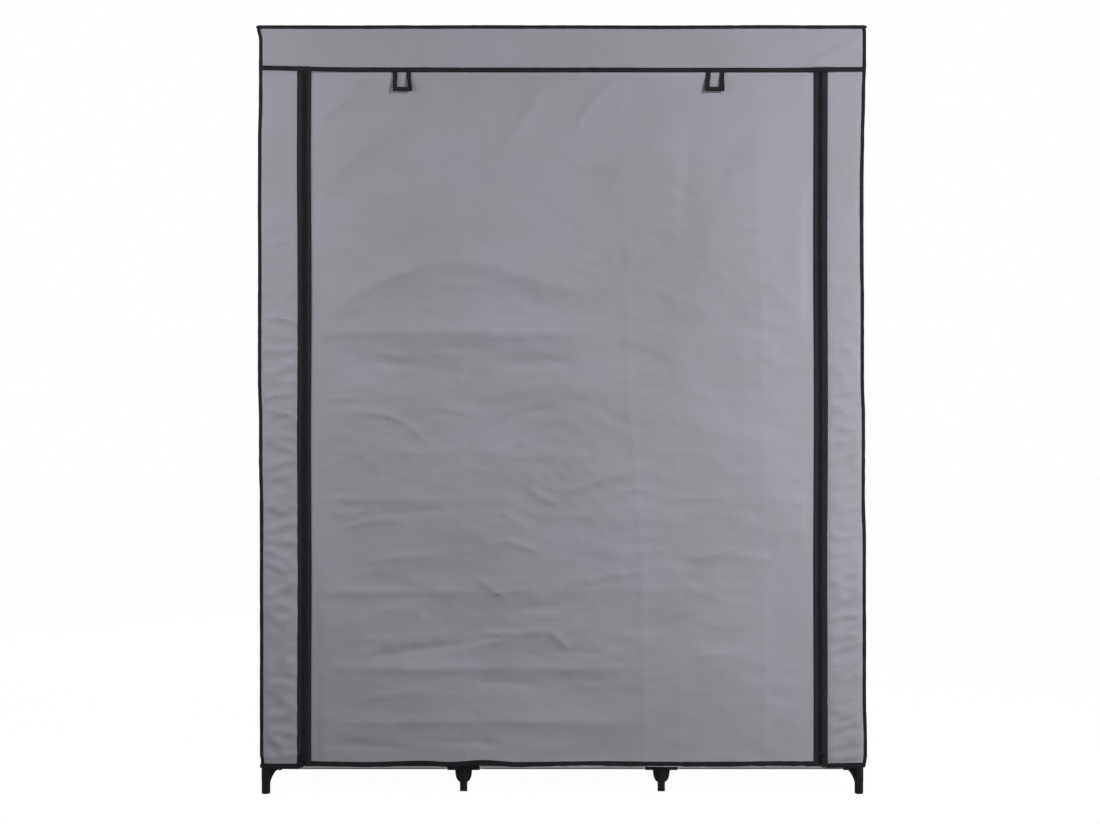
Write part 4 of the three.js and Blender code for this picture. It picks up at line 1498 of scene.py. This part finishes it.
def add_zip_tape(name, side, way, bottom, top):
    """One woven tape of a zip; way is -1 or 1 for the side of the zip's middle that it lies on."""
    middle_y = zip_back - tape_thickness / 2

    def route(along):
        height = bottom + along
        inner = zip_x(side, height) + way * (coil_split / 2 + zip_parting(height))
        ripple = tape_ripple * noise.noise(Vector((height * tape_ripple_rate, side, way)))
        middle = Vector((inner + way * tape_width / 2, middle_y + ripple, height))
        return middle, sideways * tape_width / 2, backward * tape_thickness / 2

    tape = add_piece(name, tape_strip(top - bottom, route, tape_cell, tape_sides, power=0.3), zip_tape)
    return tape


def add_coil(name, side, way, bottom, top, phase):
    """The nylon coil on a tape's inner edge: a flattened helix of wire whose turns reach past the middle."""
    turns = (top - bottom) / coil_pitch
    coil_y = zip_back - tape_thickness - coil_rise - coil_wire

    def centre(turn):
        height = bottom + turn * coil_pitch
        angle = 2 * math.pi * (turn + phase)
        x = zip_x(side, height) + way * (coil_reach - coil_overlap + zip_parting(height))
        return Vector((x + coil_reach * math.cos(angle), coil_y + coil_rise * math.sin(angle), height))

    def route(turn):
        middle = centre(turn)
        ahead = (centre(turn + coil_look_ahead) - middle).normalized()
        out = ahead.cross(up).normalized()
        return middle, ahead.cross(out) * coil_wire, out * coil_wire

    shape = tape_strip(turns, route, 1 / coil_steps, coil_sides, power=1)
    coil = add_piece(name, shape, nylon, sharp_degrees=180)
    return coil


for side, sign in (("left", -1), ("right", 1)):
    fixed_low, fixed_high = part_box(f"{side}_zip_fixed_tape")
    fixed_tape = add_zip_tape(f"woven_{side}_fixed_tape", sign, sign, fixed_low.z, fixed_high.z + tape_tuck)
    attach(fixed_tape, "root")
    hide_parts(f"{side}_zip_fixed_tape")
    fixed_coil = add_coil(f"{side}_fixed_coil", sign, sign, fixed_low.z + coil_start, fixed_high.z, 0)
    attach(fixed_coil, "root")
    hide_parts(f"{side}_zip_fixed_tape")
    door_low, door_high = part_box(f"{side}_zip_door_tape")
    door_tape = add_zip_tape(f"woven_{side}_door_tape", sign, -sign, door_low.z, door_high.z + tape_tuck)
    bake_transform(door_tape)
    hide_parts(f"{side}_zip_door_tape")
    door_coil = add_coil(f"{side}_door_coil", sign, -sign, door_low.z + coil_start, door_high.z, 0.5)
    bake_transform(door_coil)
    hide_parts(f"{side}_zip_door_tape")

# Sliders
# Each zip has a die-cast slider, painted black: a front and a back plate on a web between the coils, with
# flanges at the sides and a lug in front whose pin holds the pull.
metal_dark = (0.0050, 0.0046, 0.0056, 1)
metal_light = (0.0105, 0.0100, 0.0118, 1)
slider_outline_shares = [(0.0, 0.16), (0.36, 0.0), (0.80, 0.02), (1.0, 0.14), (1.0, 0.42), (0.72, 0.78),
                         (0.66, 0.94), (0.50, 1.0)]
slider_half = 0.0062
slider_plate = 0.0011
slider_front = 0.0040
slider_back = 0.0003
slider_bevel = 0.0003
slider_offset = 0.0012
plate_overlap = 0.0005
web_half = 0.0006
web_back = 0.0010
web_heights = (0.0020, 0.0065)
web_edge = 0.0001
flange_inner = 0.0050
flange_back = -0.0015
flange_heights = (0.0018, 0.0056)
stem_half = 0.0014
stem_drops = (0.0046, 0.0004)
stem_front = -0.0062
stem_overlap = 0.0004
small_edge = 0.0002
lug_radius = 0.0025
lug_half = 0.0014
lug_edge = 0.0003
pin_radius = 0.0007
pin_half = 0.0032
pin_front = -0.0060
pin_drop = 0.0025

metal, _ = new_finish(
    "black_painted_zinc",
    {"Patch Scale": 120.0, "Grain Scale": 1800.0, "Dark": metal_dark, "Light": metal_light, "Low": 0.36,
     "High": 0.52},
    {"Metallic": 0.3, "Specular IOR Level": 0.12},
    grain_bump=(0.00005, 0.4),
)


def slider_parts(height, lug_x):
    """The slider's overlapping solids, from its bottom up and from the tape's back forwards."""
    half = [(x * slider_half, z * height) for x, z in slider_outline_shares]
    outline = half + [(-x, z) for x, z in reversed(half[1:])]
    inside = plate_overlap - slider_front
    parts = [
        moved(softened(plate(outline, 0, slider_plate), slider_bevel), (0, -slider_front, 0)),
        moved(softened(plate(outline, 0, slider_plate), slider_bevel), (0, slider_back, 0)),
        box_between((-web_half, inside, web_heights[0]), (web_half, web_back, web_heights[1]), web_edge),
    ]
    for left, right in ((-slider_half, -flange_inner), (flange_inner, slider_half)):
        parts.append(box_between(
            (left, inside, flange_heights[0]), (right, flange_back, flange_heights[1]), small_edge
        ))
    pin_place = (lug_x, pin_front, height - pin_drop)
    lug = turned(rod_outline(-lug_half, lug_half, lug_radius, lug_edge), "x")
    stem = box_between(
        (lug_x - stem_half, stem_front, height - stem_drops[0]),
        (lug_x + stem_half, stem_overlap - slider_front, height - stem_drops[1]),
        small_edge,
    )
    pin = turned(rod_outline(-pin_half, pin_half, pin_radius, small_edge), "x")
    return [*parts, moved(lug, pin_place), stem, moved(pin, pin_place)]


for side, sign in (("left", -1), ("right", 1)):
    slider_low, slider_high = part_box(f"{side}_zip_slider")
    slider_x = sign * (zip_centre + slider_offset)
    lug_x = box_middle(f"{side}_zip_pull").x - slider_x
    shape = bmesh.new()
    for part in slider_parts(slider_high.z - slider_low.z, lug_x):
        add_shape(shape, part)
    slider = add_piece(f"zinc_{side}_slider", moved(shape, (slider_x, zip_back, slider_low.z)), metal)
    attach(slider, f"{side}_slider")
    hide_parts(f"{side}_zip_slider")

# Pulls
# A stamped zinc pull hangs from each slider's pin by a fork with two eyes. Below the fork it is a flat tab
# with eased edges.
pull_thickness = 0.0014
pull_edge = 0.00025
tab_half = 0.0032
tab_neck_half = 0.0016
tab_neck = -0.0040
tab_shoulder = -0.0075
tab_tip_half = 0.0020
tab_tip_gap = 0.0002
tab_corner = 0.0012
bridge_heights = (-0.0062, -0.0035)
arm_middle = 0.0025
arm_half = 0.0007
arm_heights = (-0.0045, -0.0011)
eye_bore = 0.0010
eye_radius = 0.0017


def pull_parts(length):
    """The pull's solids, hanging down from the pin at the origin."""
    depth = pull_thickness / 2
    half = [(tab_neck_half, tab_neck), (tab_half, tab_shoulder), (tab_half, tab_corner - length),
            (tab_tip_half, tab_tip_gap - length)]
    outline = [(-x, z) for x, z in half] + half[::-1]
    parts = [
        moved(softened(plate(outline, 0, pull_thickness), pull_edge), (0, -depth, 0)),
        box_between((-tab_half, -depth, bridge_heights[0]), (tab_half, depth, bridge_heights[1]), pull_edge),
    ]
    for middle in (-arm_middle, arm_middle):
        ring = [(eye_bore, -arm_half), (eye_radius, -arm_half), (eye_radius, arm_half), (eye_bore, arm_half)]
        arm_low = (middle - arm_half, -depth, arm_heights[0])
        arm_high = (middle + arm_half, depth, arm_heights[1])
        parts += [turned(ring, "x", (middle, 0, 0)), box_between(arm_low, arm_high, small_edge)]
    return parts


for side in ("left", "right"):
    pull_low, pull_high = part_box(f"{side}_zip_pull")
    pull_middle = box_middle(f"{side}_zip_pull")
    pin_z = pull_high.z - eye_radius
    shape = bmesh.new()
    for part in pull_parts(pin_z - pull_low.z):
        add_shape(shape, part)
    pull = add_piece(f"zinc_{side}_pull", moved(shape, (pull_middle.x, pull_middle.y, pin_z)), metal)
    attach(pull, f"{side}_pull")
    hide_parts(f"{side}_zip_pull")

# Door loops
# Two loops of folded black tape are sewn into the seam under the band and hold the door when it is rolled up.
# Each is one tape folded square at its lower corners, and it stands a little off the door.
loop_tape_half = 0.0047
loop_bottom = 1.5535
loop_thickness = 0.0016
loop_flare = 0.0020
loop_lean = 0.0032
loop_curve = 0.0024
loop_tuck = 0.002
loop_ripple = 0.0003
loop_ripple_turn = 210
loop_cell = 0.003
loop_roundness = 0.35
bar_inset = 0.0003
bar_front = 0.0006
loop_top = band_bottom + loop_tuck
loop_drop = loop_top - loop_bottom

for side, sign in (("left", -1), ("right", 1)):
    loop_low, loop_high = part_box(f"{side}_door_loop")
    loop_x = (loop_low.x + loop_high.x) / 2
    loop_half = (loop_high.x - loop_low.x) / 2 - loop_flare
    loop_y = loop_high.y - loop_thickness / 2
    inner_leg = -sign

    def loop_place(x, drop, loop_x=loop_x, loop_y=loop_y):
        """A point of the loop: it leans away from the door and curves a little further at its end."""
        share = drop / loop_drop
        return Vector((loop_x + x, loop_y - loop_lean * share - loop_curve * share * share, loop_top - drop))

    shape = bmesh.new()
    for leg in (-1, 1):

        def leg_route(along, leg=leg, inner_leg=inner_leg):
            flare = 2 * loop_flare * along / loop_drop if leg == inner_leg else 0
            x = leg * (loop_half - loop_tape_half + flare) - inner_leg * loop_flare
            ripple = loop_ripple * math.sin(along * loop_ripple_turn + leg)
            return loop_place(x + ripple, along), sideways * loop_tape_half, backward * (loop_thickness / 2)

        add_shape(shape, tape_strip(loop_drop, leg_route, loop_cell, binding_sides, loop_roundness))

    bar_half = loop_half + loop_flare - bar_inset

    def bar_route(along):
        middle = loop_place(along - bar_half, loop_drop - loop_tape_half)
        return middle - backward * bar_front, up * loop_tape_half, backward * (loop_thickness / 2)

    add_shape(shape, tape_strip(2 * bar_half, bar_route, loop_cell, binding_sides, loop_roundness))
    loop = add_piece(f"folded_{side}_loop", shape, binding_tape)
    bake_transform(loop)
    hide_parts(f"{side}_door_loop")

# Floor
# A plain pale floor: to the camera and in reflections it is nearly white, and it keeps the wardrobe's shadow.
floor_size = 40
floor_grey = (0.34, 0.34, 0.34, 1)
floor_glow = 1.09
floor_glow_share = 0.90


def seen_rays(tree):
    """1 to the camera, in reflections and through glass, and 0 to the light that falls on the object."""
    rays = add_node(tree, "ShaderNodeLightPath").outputs
    seen = add_math(tree, "ADD", rays["Is Camera Ray"], rays["Is Glossy Ray"])
    return add_math(tree, "ADD", seen, rays["Is Transmission Ray"], use_clamp=True)


floor_shape = bmesh.new()
bmesh.ops.create_grid(floor_shape, x_segments=1, y_segments=1, size=floor_size / 2)
floor_paint = bpy.data.materials.new("pale_floor")
floor_paint.use_nodes = True
floor_tree = floor_paint.node_tree
floor_shader = floor_tree.nodes["Principled BSDF"]
floor_shader.inputs["Base Color"].default_value = floor_grey
floor_shader.inputs["Roughness"].default_value = 0.9
floor_shader.inputs["Specular IOR Level"].default_value = 0.1
floor_light = add_node(floor_tree, "ShaderNodeEmission", {"Color": (1, 1, 1, 1), "Strength": floor_glow})
floor_share = add_math(floor_tree, "MULTIPLY", seen_rays(floor_tree), floor_glow_share)
floor_mix = add_node(
    floor_tree, "ShaderNodeMixShader", {0: floor_share, 1: floor_shader.outputs[0], 2: floor_light.outputs[0]}
)
floor_tree.links.new(floor_mix.outputs[0], floor_tree.nodes["Material Output"].inputs["Surface"])
floor = add_piece("floor", floor_shape, floor_paint)

# Lights
# The main lamp stands high in front at the right, and two weaker ones stand low at the right and close at the
# left. A fourth lights the back, and the backdrop is white.
world_fill = 0.06
bpy.context.scene.view_settings.view_transform = "Standard"
world = bpy.data.worlds.new("white_backdrop")
bpy.context.scene.world = world
world.use_nodes = True
world_tree = world.node_tree
world_light = world_tree.nodes["Background"]
world_light.inputs["Color"].default_value = (1, 1, 1, 1)
world_strength = add_node(
    world_tree, "ShaderNodeMapRange", {"Value": seen_rays(world_tree), "To Min": world_fill, "To Max": 1.0}
)
world_tree.links.new(world_strength.outputs["Result"], world_light.inputs["Strength"])


def add_lamp(name, place, target, size, power):
    lamp_data = bpy.data.lights.new(name, "AREA")
    lamp_data.shape = "RECTANGLE"
    lamp_data.size, lamp_data.size_y = size
    lamp_data.energy = power
    lamp = bpy.data.objects.new(name, lamp_data)
    lamp.location = place
    lamp.rotation_euler = (Vector(target) - Vector(place)).to_track_quat("-Z", "Y").to_euler()
    lamp.visible_camera = False
    bpy.context.scene.collection.objects.link(lamp)


door_middle = (0, cloth_front, 0.9)
add_lamp("main_lamp", (2.66, cloth_front - 2.17, 2.60), door_middle, (0.4, 0.4), 114)
add_lamp("right_lamp", (1.28, cloth_front - 1.04, 0.81), door_middle, (0.7, 0.7), 9.8)
add_lamp("left_lamp", (-1.60, cloth_front - 0.60, 1.44), door_middle, (1.1, 1.1), 19)
add_lamp("rear_lamp", (-1.6, 3.0, 2.6), (0, 0, 0.9), (2.0, 2.0), 60)
